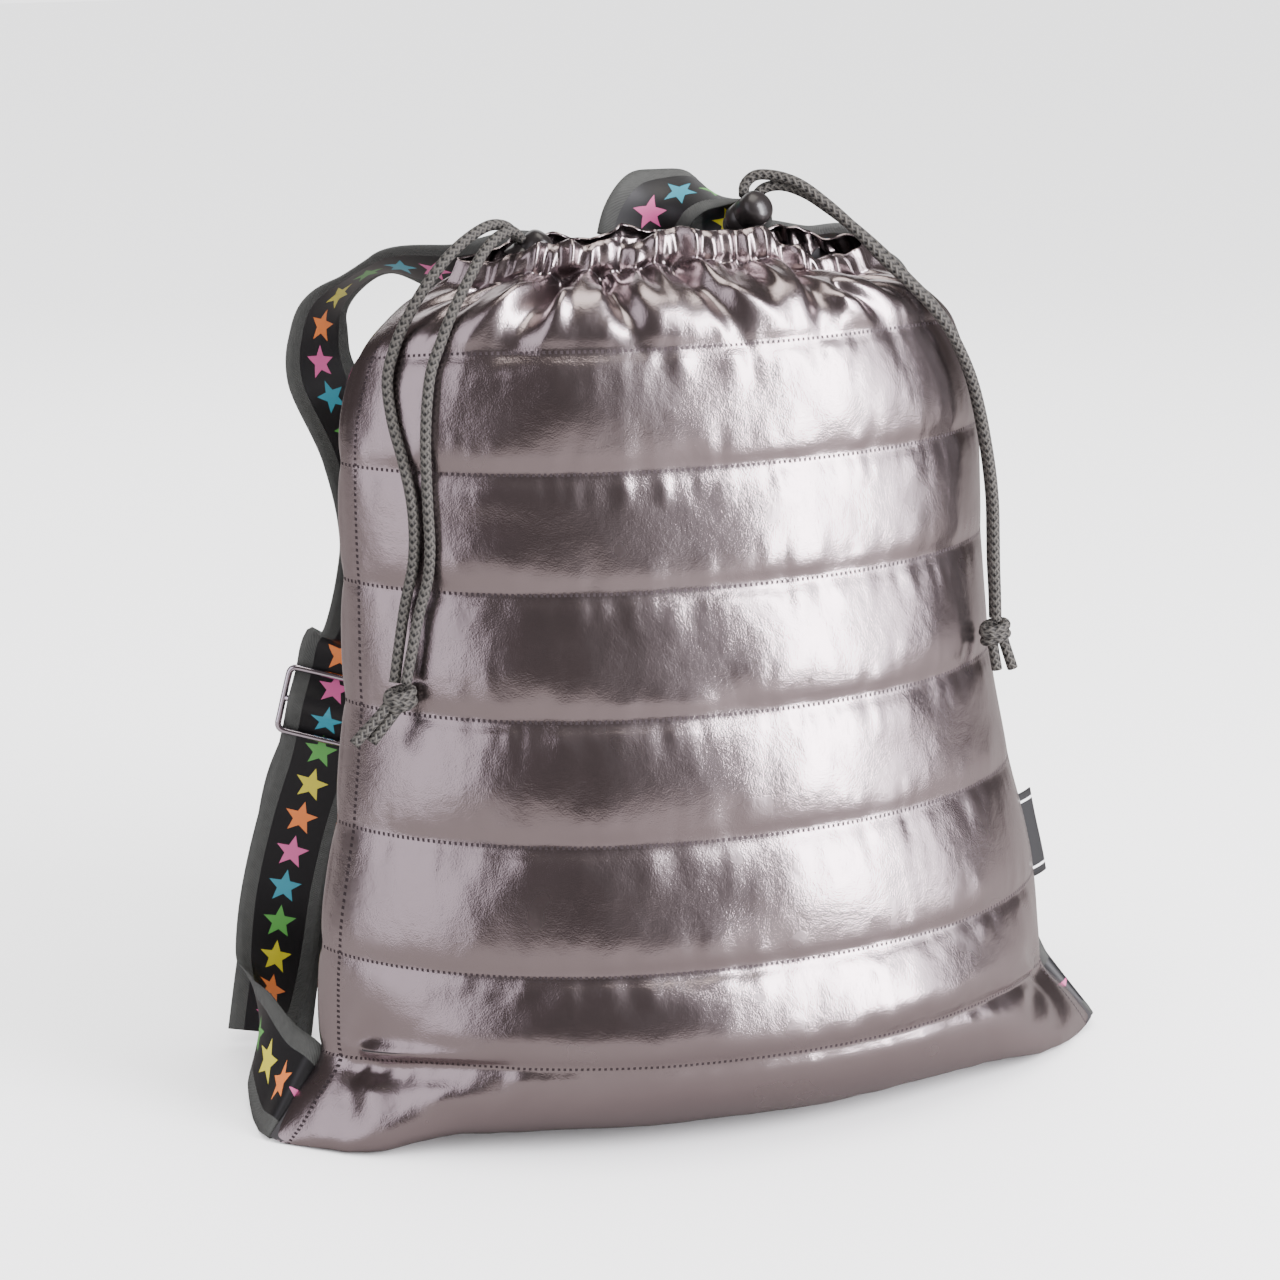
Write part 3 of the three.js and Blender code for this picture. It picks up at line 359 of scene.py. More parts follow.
def fabric_material():
    n = Nodes("metallic_fabric")
    spot = n.position()
    broad = n.noise(spot, 9.0, 3.0)
    colour = n.mix(broad, (0.315, 0.262, 0.272, 1), (0.37, 0.318, 0.322, 1))
    _, x, y = n.uv()
    # Thread of the quilting: dark dots in a line along each stitched row and each side seam.
    row = n.math("ABSOLUTE", n.math("SUBTRACT", y, n.math("ROUND", y)))
    near = n.math("LESS_THAN", row, ROW_THREAD)
    turns = n.math("MULTIPLY", x, 2 * math.pi / STITCH_PITCH)
    dots = n.math("GREATER_THAN", n.math("SINE", turns), 0.1)
    _, across, up = n.uv("share")
    from_seam = n.math("ABSOLUTE", n.math("SUBTRACT", n.math("ABSOLUTE", across), SEAM_AT))
    edge = n.math("LESS_THAN", from_seam, SEAM_THREAD)
    turns = n.math("MULTIPLY", up, 2 * math.pi * STITCHES_A_CHANNEL)
    beads = n.math("GREATER_THAN", n.math("SINE", turns), 0.0)
    stitch = n.math("MAXIMUM", n.math("MULTIPLY", near, dots), n.math("MULTIPLY", edge, beads))
    colour = n.mix(n.math("MULTIPLY", stitch, 0.85), colour, (0.05, 0.04, 0.045, 1))
    grain = n.noise(spot, 1500.0, 1.0)
    creases = n.noise(spot, 55.0, 4.0, 0.55)
    fine = n.bump(grain, 0.00014, 0.55)
    soft = n.bump(creases, 0.0016, 0.35, fine)
    rough = n.math("ADD", n.math("MULTIPLY", n.noise(spot, 30.0, 2.0), 0.10), 0.21)
    rough = n.math("ADD", rough, n.math("MULTIPLY", stitch, 0.4))
    n.set(Base_Color=colour, Metallic=1.0, Roughness=rough, Normal=soft)
    return n.material


def lining_material():
    n = Nodes("lining")
    n.set(Base_Color=(0.02, 0.018, 0.02, 1), Roughness=0.8)
    return n.material


STAR_COLOURS = [(0.36, 0.050, 0.165, 1), (0.006, 0.155, 0.21, 1), (0.045, 0.20, 0.028, 1),
                (0.34, 0.30, 0.004, 1), (0.45, 0.105, 0.006, 1)]
# In metres: the stars' spacing, their radius at the tips and notches, the ribbon's half width and
# the spacing of the webbing's ribs.
STAR_PITCH = 0.0161
STAR_TIP = 0.0078
STAR_NOTCH = 0.0034
RIBBON_HALF = 0.0118
RIB_PITCH = 0.0011


def webbing_material():
    """Grey webbing with a black ribbon down its middle that carries a row of stars."""
    n = Nodes("star_webbing")
    _, x, y = n.uv()
    turn = n.math("DIVIDE", y, STAR_PITCH)
    cell = n.math("FLOOR", turn)
    local = n.math("MULTIPLY", n.math("SUBTRACT", n.math("SUBTRACT", turn, cell), 0.5), -STAR_PITCH)
    angle = n.math("ARCTAN2", x, local)
    sector = 2 * math.pi / 5
    folded = n.math("ABSOLUTE", n.math("SUBTRACT", angle, n.math(
        "MULTIPLY", n.math("ROUND", n.math("DIVIDE", angle, sector)), sector)))
    squares = n.math("ADD", n.math("MULTIPLY", x, x), n.math("MULTIPLY", local, local))
    radius = n.math("SQRT", squares)
    px = n.math("MULTIPLY", radius, n.math("COSINE", folded))
    py = n.math("MULTIPLY", radius, n.math("SINE", folded))
    bx, by = STAR_NOTCH * math.cos(math.pi / 5), STAR_NOTCH * math.sin(math.pi / 5)
    cross = n.math("SUBTRACT", n.math("MULTIPLY", n.math("SUBTRACT", px, STAR_TIP), by),
                   n.math("MULTIPLY", py, bx - STAR_TIP))
    star = n.math("LESS_THAN", cross, 0.0)
    index = n.math("FLOORED_MODULO", cell, 5.0)
    colour = STAR_COLOURS[0]
    for i, value in enumerate(STAR_COLOURS[1:], 1):
        colour = n.mix(n.math("COMPARE", index, float(i), 0.5), colour, value)
    across = n.math("ABSOLUTE", x)
    ribbon = n.math("LESS_THAN", across, RIBBON_HALF)
    spot = n.position()
    grey = n.mix(n.noise(spot, 260.0, 2.0), (0.024, 0.025, 0.0235, 1), (0.040, 0.041, 0.038, 1))
    band = n.mix(star, (0.004, 0.004, 0.005, 1), colour)
    n.set(Base_Color=n.mix(ribbon, grey, band))
    slanted = n.math("ADD", n.math("MULTIPLY", across, 0.8), y)
    rib = n.math("SINE", n.math("MULTIPLY", slanted, 2 * math.pi / RIB_PITCH))
    weave = n.math("MULTIPLY", n.math("MULTIPLY", rib, 0.5), n.math("SUBTRACT", 1.0, ribbon))
    height = n.math("ADD", n.math("MULTIPLY", weave, 0.00010), n.math("MULTIPLY", ribbon, 0.00035))
    rough = n.math("SUBTRACT", 0.85, n.math("MULTIPLY", ribbon, 0.35))
    n.set(Normal=n.bump(height, 1.0), Roughness=rough)
    return n.material


BRAID_PITCH = 0.0034
BRAID_STRANDS = 4


def braid_material():
    """Two sets of strands that wind opposite ways and take turns on top, with a painted highlight on
    their crowns and painted shade in the grooves between them.
    """
    n = Nodes("braid")
    _, turn, run = n.uv()
    along = n.math("MULTIPLY", run, 2 * math.pi / BRAID_PITCH)
    about = n.math("MULTIPLY", turn, 2 * math.pi * BRAID_STRANDS)
    half_way = n.math("MULTIPLY", about, 0.5)
    one = n.math("SINE", n.math("ADD", along, about))
    two = n.math("SINE", n.math("SUBTRACT", along, about))
    strands = n.math("MAXIMUM", n.math("MULTIPLY", one, n.math("COSINE", half_way)),
                     n.math("MULTIPLY", two, n.math("SINE", half_way)))
    # Painted light and shade: the colour follows the strands' height, lighter on their crowns and near
    # black in the grooves between them.
    lit = n.math("MULTIPLY", n.math("ADD", strands, 0.25), 1.4, clamp=True)
    n.set(Base_Color=n.mix(lit, (0.004, 0.0036, 0.0033, 1), (0.052, 0.047, 0.041, 1)),
          Roughness=0.75, Normal=n.bump(strands, 0.0006, 0.8))
    return n.material


def plain_material(name, colour, rough, metal=0.0, grain=0.0):
    n = Nodes(name)
    n.set(Base_Color=colour, Roughness=rough, Metallic=metal)
    if grain:
        n.set(Normal=n.bump(n.noise(n.position(), 700.0, 2.0), 0.0002, grain))
    return n.material


# The label's two stripes: their distance from its middle and their half width, in metres.
STRIPE_AT = 0.0155
STRIPE_HALF = 0.0006


def label_material():
    """Black, with a pale stripe near each end."""
    n = Nodes("woven_label")
    _, _, y = n.uv()
    end = n.math("ABSOLUTE", n.math("SUBTRACT", n.math("ABSOLUTE", y), STRIPE_AT))
    stripe = n.math("LESS_THAN", end, STRIPE_HALF)
    n.set(Base_Color=n.mix(stripe, (0.008, 0.008, 0.009, 1), (0.55, 0.55, 0.55, 1)), Roughness=0.8)
    return n.material


def floor_material():
    """Pale, and dimmer where the bag mirrors it."""
    n = Nodes("floor")
    ray = n.new("ShaderNodeLightPath")
    glossy = ray.outputs["Is Glossy Ray"]
    n.set(Base_Color=n.mix(glossy, (0.9, 0.9, 0.9, 1), (0.20, 0.183, 0.177, 1)), Roughness=0.95)
    n.shader.inputs["Specular IOR Level"].default_value = 0.1
    return n.material


FABRIC = fabric_material()
LINING = lining_material()
WEBBING = webbing_material()
BRAID = braid_material()
PLASTIC = plain_material("lock_plastic", (0.012, 0.010, 0.010, 1), 0.28, grain=0.1)
METAL = plain_material("slider_metal", (0.60, 0.55, 0.62, 1), 0.14, 1.0)
LABEL = label_material()

# Drawcords, along the solids' own routes.
CORD_ROUTES = {
    "cord_left_outer": [
        (-64.6, 36.6, 369.9), (-70, 34, 375), (-79, 28, 377), (-91, 21, 373), (-101, 16, 366.5),
        (-110, 14, 357), (-118, 14, 345), (-124.5, 14, 332), (-129, 11.5, 318.4), (-129.2, 5, 302.5),
        (-126.5, -0.8, 286), (-124.8, -6.4, 270.7), (-124.6, -9, 256.4), (-125.6, -9.4, 243.8),
        (-129, -9, 228), (-133, -12.5, 211), (-136, -15.2, 196.5)],
    "cord_left_inner": [
        (-64.6, 31.4, 369.9), (-69.5, 28, 374), (-77, 23, 373), (-85, 17, 368), (-94.5, 8.4, 358),
        (-103.5, 2.6, 345.5), (-109.5, 0, 333.5), (-114, -2.2, 323.6), (-116.8, -5, 311.8),
        (-118.6, -7.5, 295.3), (-118.8, -8.5, 279.5), (-119.2, -11.6, 264.9), (-119.4, -13.8, 252.4),
        (-120.6, -14, 238.9), (-124.6, -14.6, 225.4), (-128.6, -17, 210.6), (-132.3, -19, 196.5)],
    "cord_right_outer": [
        (41.8, 37.3, 381.2), (46, 37, 385.5), (53, 34, 387), (62, 30, 384), (72, 25, 377),
        (82, 19, 368.5), (92, 12, 358.5), (101, 6, 348), (110, 2, 338), (117.5, 0, 327.5),
        (123, 0, 317), (128, 0, 305.5), (131.5, -1, 292), (134, -3, 277), (135.4, -5, 264),
        (135.9, -7.5, 251), (135.6, -9.5, 238), (135.2, -11.5, 225), (135.6, -13, 211.5),
        (136, -13.4, 200)],
    "cord_right_inner": [
        (37, 36.6, 382.9), (38.2, 39, 387), (42, 38, 391), (49, 34, 391.5), (58, 27, 388.5),
        (68, 20, 380.5), (79, 13, 369.5), (89, 5.5, 357.5), (99, -0.5, 347), (108, -4.5, 337),
        (115.5, -6.5, 326.5), (121.5, -6.5, 316), (126.5, -6.5, 304.5), (130, -7.5, 291.5),
        (132.5, -9.5, 276.5), (134, -11.5, 263.5), (134.5, -13.8, 250.5), (134.2, -15.8, 237.5),
        (133.8, -17.8, 224.5), (134, -19, 211.5), (134.4, -19.2, 200)],
}
KNOTS = {"left": ((-134.2, -17.1, 189.9), -1), "right": ((135.2, -16.3, 194.4), 0.25)}


def curved_path(points, step):
    """Points along the curve about step apart."""
    rough = catmull(points, np.linspace(0, 1, 40 * len(points)))
    run = run_along(rough)
    wanted = np.linspace(0, run[-1], max(int(run[-1] / step), 3) + 1)
    return each_axis(wanted, run, rough), run[-1]


# Each wrap of a knot: its tilt, its height above the knot's middle and its size.
KNOT_WRAPS = [(0.35, 2.2, 0.94), (-0.4, -0.6, 1.0), (0.15, -3.1, 0.86)]
KNOT_WIDE, KNOT_DEEP = 5.3, 3.4


def knot_piece(name, middle, lean):
    """An overhand knot: wraps of the doubled cord round its own ends, and the two tails."""
    middle = np.array(middle, float)
    parts = []
    for i, (tilt, drop, grow) in enumerate(KNOT_WRAPS):
        turn = np.linspace(0, 2 * np.pi * 0.97, 26)
        rise = drop + np.sin(turn + i) * 0.7 + np.cos(turn) * KNOT_WIDE * tilt * 0.5
        ring = np.stack([np.cos(turn) * KNOT_WIDE * grow, np.sin(turn) * KNOT_DEEP * grow, rise],
                        axis=1)
        parts.append(tube(name + "_wrap", middle + ring, CORD / 2 * 0.93, 12))
    for sign in (-1, 1):
        spread = sign * CORD / 2
        tail, _ = curved_path(middle + np.array([
            (spread, 0, 1), (spread * 1.2 + lean * 6, -1, -5.7),
            (spread * 1.6 + lean * 17, -2, -17)]), 1.5)
        parts.append(tube(name + "_tail", tail, CORD / 2, 12))
    return join(parts, name)


def join(parts, name):
    bpy.ops.object.select_all(action="DESELECT")
    for part in parts:
        part.select_set(True)
    bpy.context.view_layer.objects.active = parts[0]
    bpy.ops.object.join()
    parts[0].name = name
    parts[0].data.name = name
    return parts[0]


for side, (middle, lean) in KNOTS.items():
    knot = knot_piece("tied_knot_" + side, middle, lean)
    finish_piece(knot, BRAID, "bag", "knot_" + side)
for name, points in CORD_ROUTES.items():
    path, length = curved_path(points, 1.6)
    strand = tube(name.replace("cord", "braid"), path, CORD / 2)
    finish_piece(strand, BRAID, "bag", name)
    side = name.split("_")[1]
    tuple(place(points[0]))
    [tuple(p) for p in place(path)]


# The bag's surface.
def hermite(table, column, spots):
    """The solids' monotone curve through one column of a table."""
    at, value = table[:, 0], table[:, column]
    rise = np.diff(value) / np.diff(at)
    both = rise[:-1] + rise[1:]
    inner = np.where(rise[:-1] * rise[1:] <= 0, 0.0,
                     2 * rise[:-1] * rise[1:] / np.where(both == 0, 1, both))
    slope = np.concatenate([[rise[0]], inner, [rise[-1]]])
    i = np.clip(np.searchsorted(at, spots, side="right") - 1, 0, len(at) - 2)
    span = at[i + 1] - at[i]
    t = np.clip((spots - at[i]) / span, 0, 1)
    return ((2 * t**3 - 3 * t**2 + 1) * value[i] + (t**3 - 2 * t**2 + t) * span * slope[i]
            + (3 * t**2 - 2 * t**3) * value[i + 1] + (t**3 - t**2) * span * slope[i + 1])


def skin(rows, facing, u, at):
    """Points of a panel at places u across, from -1 to 1, and channel counts at."""
    side = hermite(rows, 1, at)
    mid = hermite(rows, 2, at) * BAG_HEIGHT
    belly = (1 - np.minimum(np.abs(u), 1) ** 2.2) ** 0.7
    out = hermite(rows, 3, at) * BAG_DEPTH * belly
    ends = np.abs(u) ** 6
    return np.stack([u * hermite(SIDE_SEAM, 1, side) * HALF,
                     hermite(SIDE_SEAM, 2, side) * BAG_DEPTH + facing * out,
                     mid + (side * BAG_HEIGHT - mid) * ends], axis=-1)


def outward(rows, facing, u, at):
    """The panel's outward direction at each of those points."""
    step = 0.01
    top = rows[-1, 0]
    across = (skin(rows, facing, np.minimum(u + step, 0.995), at)
              - skin(rows, facing, np.maximum(u - step, -0.995), at))
    inside = np.clip(u, -0.99, 0.99)
    up = (skin(rows, facing, inside, np.minimum(at + step, top))
          - skin(rows, facing, inside, np.maximum(at - step, 0)))
    return unit(np.cross(across, up)) * -facing


def channel_dome(share):
    """Height of a full channel at a share of the way up it."""
    return np.maximum(1 - np.abs(2 * share - 1) ** 2.4, 0) ** 0.6


def swell_of(rows, u, at):
    """How full each channel is at each point, and the share of the channel's height there."""
    lines = rows[rows[:, 5] == 1]
    i = np.clip(np.searchsorted(lines[:, 0], at, side="right") - 1, 0, len(lines) - 2)
    share = (at - lines[i, 0]) / (lines[i + 1, 0] - lines[i, 0])
    return lines[i, 4] * channel_dome(share) * (1 - np.abs(u) ** 6), share


def fold_depth(folds, gather, u, at):
    """Depth of the gathered folds above the last quilted channel."""
    rise = np.clip(at - gather, 0, 1)
    deepest = np.zeros_like(u)
    for spot, width, depth, reach in folds:
        run = np.clip((rise - 1 + reach) / reach, 0, 1)
        deepest = np.maximum(deepest, depth * run * np.exp(-(((u - spot) / width) ** 2)))
    return FOLD_DEPTH * deepest


def lattice_noise(shape, cells, seed):
    """Smooth noise on a grid from a few random values, from -1 to 1."""
    values = np.random.default_rng(seed).uniform(-1, 1, (cells[0] + 3, cells[1] + 3))
    y = np.linspace(0, cells[0], shape[0])
    x = np.linspace(0, cells[1], shape[1])
    iy, ix = np.floor(y).astype(int), np.floor(x).astype(int)
    fy, fx = ease(y - iy)[:, None], ease(x - ix)[None]
    low, low_next = values[np.ix_(iy, ix)], values[np.ix_(iy, ix + 1)]
    high, high_next = values[np.ix_(iy + 1, ix)], values[np.ix_(iy + 1, ix + 1)]
    return (low * (1 - fy) * (1 - fx) + high * fy * (1 - fx)
            + low_next * (1 - fy) * fx + high_next * fy * fx)


# The panels' grid, and how far the back stands out beside its seams.
COLUMNS = 181
CHANNEL_ROWS = 12
HEADER_ROWS = 8
SEAM_PLUMP = 6.0


def crease_height(creases, uu, aa, across_mm=125.0, up_mm=46.0):
    """Height of the creases, each a furrow with low shoulders that widens and fades to its end."""
    total = np.zeros_like(uu)
    for u0, a0, u1, a1, width, depth in creases:
        du, da = (u1 - u0) * across_mm, (a1 - a0) * up_mm
        length = math.hypot(du, da)
        px, py = (uu - u0) * across_mm, (aa - a0) * up_mm
        t = (px * du + py * da) / length**2
        past_ends = np.maximum(-t, 0) * length, np.maximum(t - 1, 0) * length
        off = np.abs(px * da - py * du) / length + past_ends[0] + past_ends[1]
        grow = 1 + 0.8 * np.clip(t, 0, 1)
        d = off / (width * grow)
        fade = np.where(t > 0, 1 - 0.75 * np.clip(t, 0, 1) ** 2, 1.0)
        total -= depth * fade * (1 - 0.45 * d * d) * np.exp(-d * d / 1.3)
    return total


def pleat_height(uu, aa, casing, seed):
    """Small pleats that the casing stitch draws up, and the ruffle above it."""
    shake = np.random.default_rng(seed)
    bends = np.cumsum(shake.uniform(0.6, 1.5, 48))
    phase = np.interp(uu, np.linspace(-1, 1, 48), bends * 2 * np.pi * 23 / bends[-1])
    size = np.interp(uu, np.linspace(-1, 1, 24), shake.uniform(0.5, 1.2, 24))
    below = np.clip((aa - casing + 0.55) / 0.55, 0, 1) ** 1.8
    above = np.clip(casing + 1 - aa, 0, 1)
    strength = np.where(aa <= casing, below, 0.55 + 0.45 * above)
    wide = np.sin(phase * 0.5 + 1.0) * np.where(aa > casing, 1 - above, 0) * 1.6
    return (np.sin(phase) * 1.9 * size * strength + wide) * (1 - np.abs(uu) ** 8)


def mouth_drop(uu, aa, gather, facing, seed):
    """How far the ragged mouth sags beside its middle, most at the front."""
    rise = np.clip((aa - gather - 0.2) / 0.9, 0, 1) ** 1.5
    reach = np.where(uu > 0, 10.5, 5.0) if facing < 0 else 2.5
    sides = ease((np.abs(uu + 0.06) - 0.38) / 0.42)
    sides = sides * np.clip((1 - np.abs(uu)) / 0.12, 0, 1) ** 0.5
    shake = np.random.default_rng(seed + 9)
    wander = np.interp(uu, np.linspace(-1, 1, 15), shake.uniform(-2.6, 2.6, 15))
    ragged = np.interp(uu, np.linspace(-1, 1, 31), shake.uniform(-1.5, 2.5, 31))
    top = np.clip(aa - gather - 1, 0, 1)
    sag = rise * (reach * sides + wander * (1 - np.abs(uu) ** 6))
    return sag + top * ragged * (1 - np.abs(uu) ** 8)


def panel_grid(rows, facing, folds, gather, seed, creases):
    """A panel's points before the cloth settles, with their places and its stitched lines."""
    lines = rows[rows[:, 5] == 1][:, 0]
    at = [np.linspace(a, b, (HEADER_ROWS if a > gather else CHANNEL_ROWS) + 1)[:-1]
          for a, b in zip(lines[:-1], lines[1:])]
    at = np.concatenate(at + [[lines[-1]]])
    t = np.linspace(-1, 1, COLUMNS)
    u = t * (1.3 - 0.3 * t * t)
    uu, aa = np.meshgrid(u, at)
    base = skin(rows, facing, uu, aa)
    normal = outward(rows, facing, uu, aa)
    swell, share = swell_of(rows, uu, aa)
    shape = uu.shape
    # Short puckers that run in from each stitched line and die out to the channel's middle.
    edge = np.exp(-np.minimum(share, 1 - share) * 5.0)
    pucker = (lattice_noise(shape, (len(lines) * 3, 46), seed)
              + lattice_noise(shape, (len(lines) * 4, 90), seed + 1) * 0.5)
    broad = lattice_noise(shape, (len(lines) * 2, 9), seed + 2)
    body = (np.abs(uu) < 0.999) * (aa < gather + 1)
    ripple = (pucker * edge * 1.3 + broad * 1.5 * swell) * body * swell**0.5
    if facing > 0:
        plump = channel_dome(share) * (aa < gather) * (aa > 2)
        push_out = SEAM_PLUMP * plump * np.exp(-(((np.abs(uu) - 0.93) / 0.06) ** 2))
    else:
        push_out = 0
    push = 0.85 * PUFF_OUT * swell + push_out + ripple - 0.6 * fold_depth(folds, gather, uu, aa)
    push += crease_height(creases, uu, aa) * (1 - np.abs(uu) ** 12)
    push += pleat_height(uu, aa, gather + 1, seed + 3)
    push[:, [0, -1]] = 0
    push[0] = 0
    points = base + normal * push[..., None]
    points[..., 2] -= mouth_drop(uu, aa, gather, facing, seed)
    points[..., 2] = np.maximum(points[..., 2], 0.0)
    return settle(points), uu, aa, lines


def grid_faces(shape, turned):
    h, w = shape
    i = np.arange(h - 1)[:, None] * w + np.arange(w - 1)[None]
    quads = np.stack([i, i + 1, i + w + 1, i + w], axis=-1).reshape(-1, 4)
    return quads[:, ::-1] if turned else quads


def flat_map(points, aa):
    """Distance along each row from its middle, in metres, and the row's own number."""
    return np.stack([run_across(points) / 1000, aa], axis=-1).reshape(-1, 2)


# The cloth: its slack over the length it has to span, its frames, its settings, and how far in
# millimetres it may carry a point.
CLOTH_SLACK = 0.03
CLOTH_FRAMES = 15
CLOTH_REACH = 9.0
CLOTH_SETTINGS = {
    "quality": 4, "mass": 0.3, "tension_stiffness": 12, "compression_stiffness": 12,
    "shear_stiffness": 4, "bending_stiffness": 0.15, "tension_damping": 8,
    "compression_damping": 8, "air_damping": 4, "use_pressure": True,
    "uniform_pressure_force": 1.6, "pin_stiffness": 1.0, "vertex_group_mass": "held",
}


def simulate(obj, points, aa, lines, gather):
    """Lets the channels settle as cloth held at its stitched lines, then keeps the result."""
    h, w = aa.shape
    held = np.isclose(aa[..., None], lines[None, None]).any(-1)
    held[:, [0, -1]] = True
    held[0] = True
    held[aa > gather + 1.001] = False
    group = obj.vertex_groups.new(name="held")
    group.add([int(i) for i in np.nonzero(held.ravel())[0]], 1.0, "REPLACE")
    # The cloth as cut: with some slack, and above the gather line as wide as it is there.
    drop = np.linalg.norm(np.diff(points, axis=0), axis=2)
    height = np.concatenate([np.zeros((1, w)), np.cumsum(drop, axis=0)], axis=0) * (1 + CLOTH_SLACK)
    run = run_across(points)
    last = np.searchsorted(aa[:, 0], gather, side="right") - 1
    above = aa[:, 0] > gather
    run[above] = run[last]
    cut = np.stack([run * (1 + CLOTH_SLACK), np.zeros_like(run), height], axis=-1) / 1000
    obj.shape_key_add(name="Basis")
    key = obj.shape_key_add(name="cut")
    key.data.foreach_set("co", cut.reshape(-1, 3).ravel())
    cloth = obj.modifiers.new("cloth", "CLOTH")
    for setting, value in CLOTH_SETTINGS.items():
        setattr(cloth.settings, setting, value)
    cloth.settings.rest_shape_key = key
    cloth.settings.effector_weights.gravity = 0
    cloth.collision_settings.use_collision = False
    scene = bpy.context.scene
    cloth.point_cache.frame_start = 1
    cloth.point_cache.frame_end = CLOTH_FRAMES
    for i in range(1, CLOTH_FRAMES + 1):
        scene.frame_set(i)
    graph = bpy.context.evaluated_depsgraph_get()
    shown = obj.evaluated_get(graph).data
    settled = np.empty(len(shown.vertices) * 3)
    shown.vertices.foreach_get("co", settled)
    obj.modifiers.clear()
    obj.shape_key_clear()
    scene.frame_set(1)
    return settled.reshape(h, w, 3)


def panel_piece(name, rows, facing, folds, creases, gather, seed, node):
    """A quilted panel with its lining, as one padded piece."""
    points, uu, aa, lines = panel_grid(rows, facing, folds, gather, seed, creases)
    flat = flat_map(points, aa)
    faces = grid_faces(aa.shape, facing > 0)
    start = place(points)
    draft = mesh_object(name + "_draft", start.reshape(-1, 3), faces)
    settled = simulate(draft, points, aa, lines, gather)
    bpy.data.objects.remove(draft)
    moved = settled - start
    length = np.linalg.norm(moved, axis=2, keepdims=True)
    start = start + moved * np.minimum(1, CLOTH_REACH / 1000 / np.maximum(length, 1e-9))
    start[..., 2] = np.maximum(start[..., 2], 0)
    shell = mesh_object(name, start.reshape(-1, 3), faces)
    set_uv(shell, flat)
    set_uv(shell, np.stack([uu, aa], axis=-1).reshape(-1, 2), "share")
    smooth = shell.modifiers.new("smooth", "SUBSURF")
    smooth.levels = smooth.render_levels = 1
    apply_modifiers(shell)
    shell.data.materials.append(FABRIC)
    inner = inner_wall(name + "_inner", start, uu, aa - gather, facing)
    shell = join([shell, inner], name)
    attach(shell, "bag")
    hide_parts(node)


# The wall's thickness in metres, in the channels and in the gathers.
WALL, GATHERED_WALL = 0.0035, 0.0011


def inner_wall(name, outside, uu, above, facing):
    """The lining, a wall's thickness inside, with a rim that closes it to the outside."""
    across = np.gradient(outside, axis=1)
    up = np.gradient(outside, axis=0)
    normal = unit(np.cross(across, up)) * -facing
    thick = np.where(above > 0.3, GATHERED_WALL, WALL) * (1 - 0.8 * np.abs(uu) ** 3)
    inside = outside - normal * thick[..., None]
    inside[..., 2] = np.maximum(inside[..., 2], 0.003 * (1 - np.abs(uu) ** 6))
    rim = outside[-1]
    middle = (rim + inside[-1]) / 2 + np.array([0, 0, 0.0008])
    grid = np.concatenate([inside, middle[None], rim[None]])
    obj = mesh_object(name, grid.reshape(-1, 3), grid_faces(grid.shape[:2], facing < 0))
    set_uv(obj, np.zeros((grid.shape[0] * grid.shape[1], 2)) + 0.25)
    obj.data.materials.append(FABRIC)
    obj.data.materials.append(LINING)
    lined = int((above[:, 0] < 1).sum()) * (grid.shape[1] - 1)
    obj.data.polygons.foreach_set("material_index",
                                  [1 if i < lined else 0 for i in range(len(obj.data.polygons))])
    return obj


panel_piece("quilted_front", FRONT_ROWS, -1, FRONT_FOLDS, FRONT_CREASES, 7, 21, "front_panel")
panel_piece("quilted_back", BACK_ROWS, 1, BACK_FOLDS, BACK_CREASES, 8, 57, "back_panel")

# Straps, as stations: x, y and z as shares of the bag's half width, depth and height, and the
# direction across the webbing. Both sides share them, with x turned over on the left.
STRAP_TOP = [
    (0.4, 0.6, 0.938, (0.1, -0.7, 0.65)), (0.541, 0.735, 0.94, (0.15, -0.9, 0.36)),
    (0.613, 0.785, 0.918, (0.5, -0.75, 0.22)), (0.665, 0.793, 0.889, (0.75, -0.6, 0.1)),
    (0.685, 0.779, 0.855, (0.83, -0.56, 0)), (0.686, 0.752, 0.815, (0.9, -0.4, 0)),
    (0.62, 0.685, 0.723, (0.93, -0.38, 0)), (0.59, 0.672, 0.62, (0.91, -0.42, 0)),
    (0.622, 0.715, 0.494, (0.97, -0.1, 0.1)),
]
SLIDER_AT = (0.689, 0.752, 0.408, (0.94, 0.34, 0))
SLIDER_LEAN = -0.26
STRAP_BOTTOM = [
    (0.764, 0.772, 0.269, (0.93, 0.34, 0.1)), (0.811, 0.752, 0.186, (0.93, 0.3, 0.1)),
    (0.848, 0.69, 0.111, (0.8, 0, 0.3)), (0.869, 0.628, 0.083, (0.7, -0.15, 0.5)),
    (0.892, 0.552, 0.072, (0.55, -0.3, 0.65)), (0.931, 0.414, 0.07, (0.2, -0.2, 0.9)),
    (0.957, 0.276, 0.072, (-0.3, -0.1, 0.92)), (0.957, 0.14, 0.068, (-0.55, 0, 0.83)),
]
TAIL_ROUTE = [
    (0.738, 0.828, 0.299, (0.94, 0.3, 0.15)), (0.775, 0.841, 0.197, (0.94, 0.3, 0.1)),
    (0.804, 0.82, 0.125, (0.94, 0.3, 0.05)), (0.834, 0.77, 0.066, (0.95, 0.3, 0)),
    (0.865, 0.7, 0.011, (0.95, 0.3, 0)),
]
